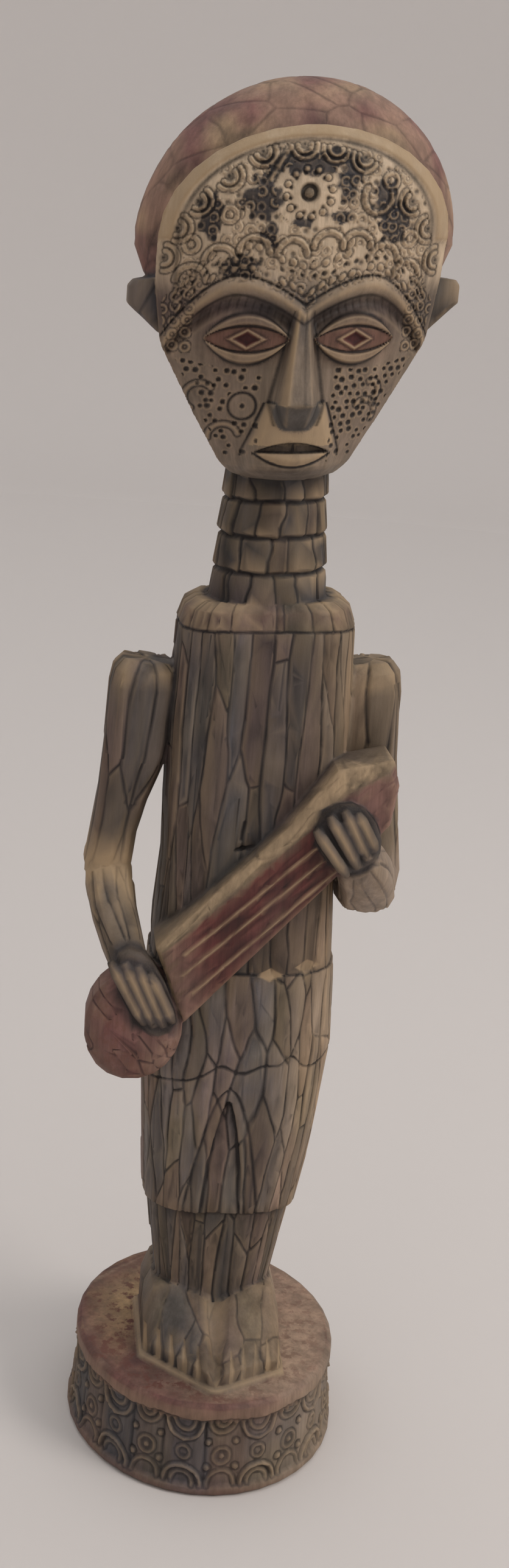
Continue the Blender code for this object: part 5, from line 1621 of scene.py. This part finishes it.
def make_floor():
    """A round pale floor whose far rim curves up, open above."""
    points = []
    for step in range(RIM_STEPS + 1):
        share = step / RIM_STEPS
        radius = FLOOR_RADIUS + RIM_WIDTH * share
        for side in range(FLOOR_SIDES):
            turn = 2 * math.pi * side / FLOOR_SIDES
            points.append((radius * math.cos(turn), radius * math.sin(turn), RIM_RISE * share ** 3))
    faces = [tuple(range(FLOOR_SIDES))]
    for low in range(0, RIM_STEPS * FLOOR_SIDES, FLOOR_SIDES):
        for side in range(FLOOR_SIDES):
            after = low + (side + 1) % FLOOR_SIDES
            faces.append((low + side, after, after + FLOOR_SIDES, low + side + FLOOR_SIDES))
    mesh = bpy.data.meshes.new("floor")
    mesh.from_pydata(points, [], faces)
    for polygon in mesh.polygons:
        polygon.use_smooth = polygon.index > 0
    floor = bpy.data.objects.new("floor", mesh)
    bpy.context.scene.collection.objects.link(floor)
    mesh.materials.append(floor_material())


def make_key():
    data = bpy.data.lights.new("key", 'AREA')
    data.shape = 'DISK'
    data.size = KEY_SIZE
    data.energy = KEY_POWER
    data.color = KEY_COLOUR
    light = bpy.data.objects.new("key", data)
    light.location = KEY_PLACE
    light.rotation_mode = 'QUATERNION'
    light.rotation_quaternion = (Vector(AIM) - Vector(KEY_PLACE)).to_track_quat('-Z', 'Y')
    light.visible_camera = False
    bpy.context.scene.collection.objects.link(light)


def make_sky():
    world = bpy.data.worlds.new("studio")
    bpy.context.scene.world = world
    world.use_nodes = True
    background = world.node_tree.nodes["Background"]
    background.inputs["Color"].default_value = (*SKY_COLOUR, 1.0)
    background.inputs["Strength"].default_value = SKY_STRENGTH


def make_camera():
    """The camera, turned, tilted and rolled as the photograph was taken."""
    ahead = Vector((math.sin(CAMERA_YAW) * math.cos(CAMERA_PITCH),
                    math.cos(CAMERA_YAW) * math.cos(CAMERA_PITCH), -math.sin(CAMERA_PITCH)))
    right = Vector((math.cos(CAMERA_YAW), -math.sin(CAMERA_YAW), 0.0))
    down = ahead.cross(right)
    rolled_right = right * math.cos(CAMERA_ROLL) + down * math.sin(CAMERA_ROLL)
    rolled_down = down * math.cos(CAMERA_ROLL) - right * math.sin(CAMERA_ROLL)
    data = bpy.data.cameras.new("camera")
    data.sensor_fit = 'VERTICAL'
    data.sensor_height = SENSOR
    data.sensor_width = SENSOR
    data.lens = LENS
    data.clip_start = 0.01
    data.clip_end = 20.0
    camera = bpy.data.objects.new("camera", data)
    axes = Matrix((rolled_right, -rolled_down, -ahead)).transposed().to_4x4()
    camera.matrix_world = Matrix.Translation(Vector(CAMERA_PLACE)) @ axes
    bpy.context.scene.collection.objects.link(camera)
    bpy.context.scene.camera = camera


bpy.context.scene.view_settings.view_transform = 'Standard'
make_camera()
make_floor()
make_key()
make_sky()
figure = remeshed(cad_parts["carved_figure"])
carve(figure)
figure.data.materials.clear()
figure.data.materials.append(wood_material())
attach(figure, "root")
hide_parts("carved_figure")
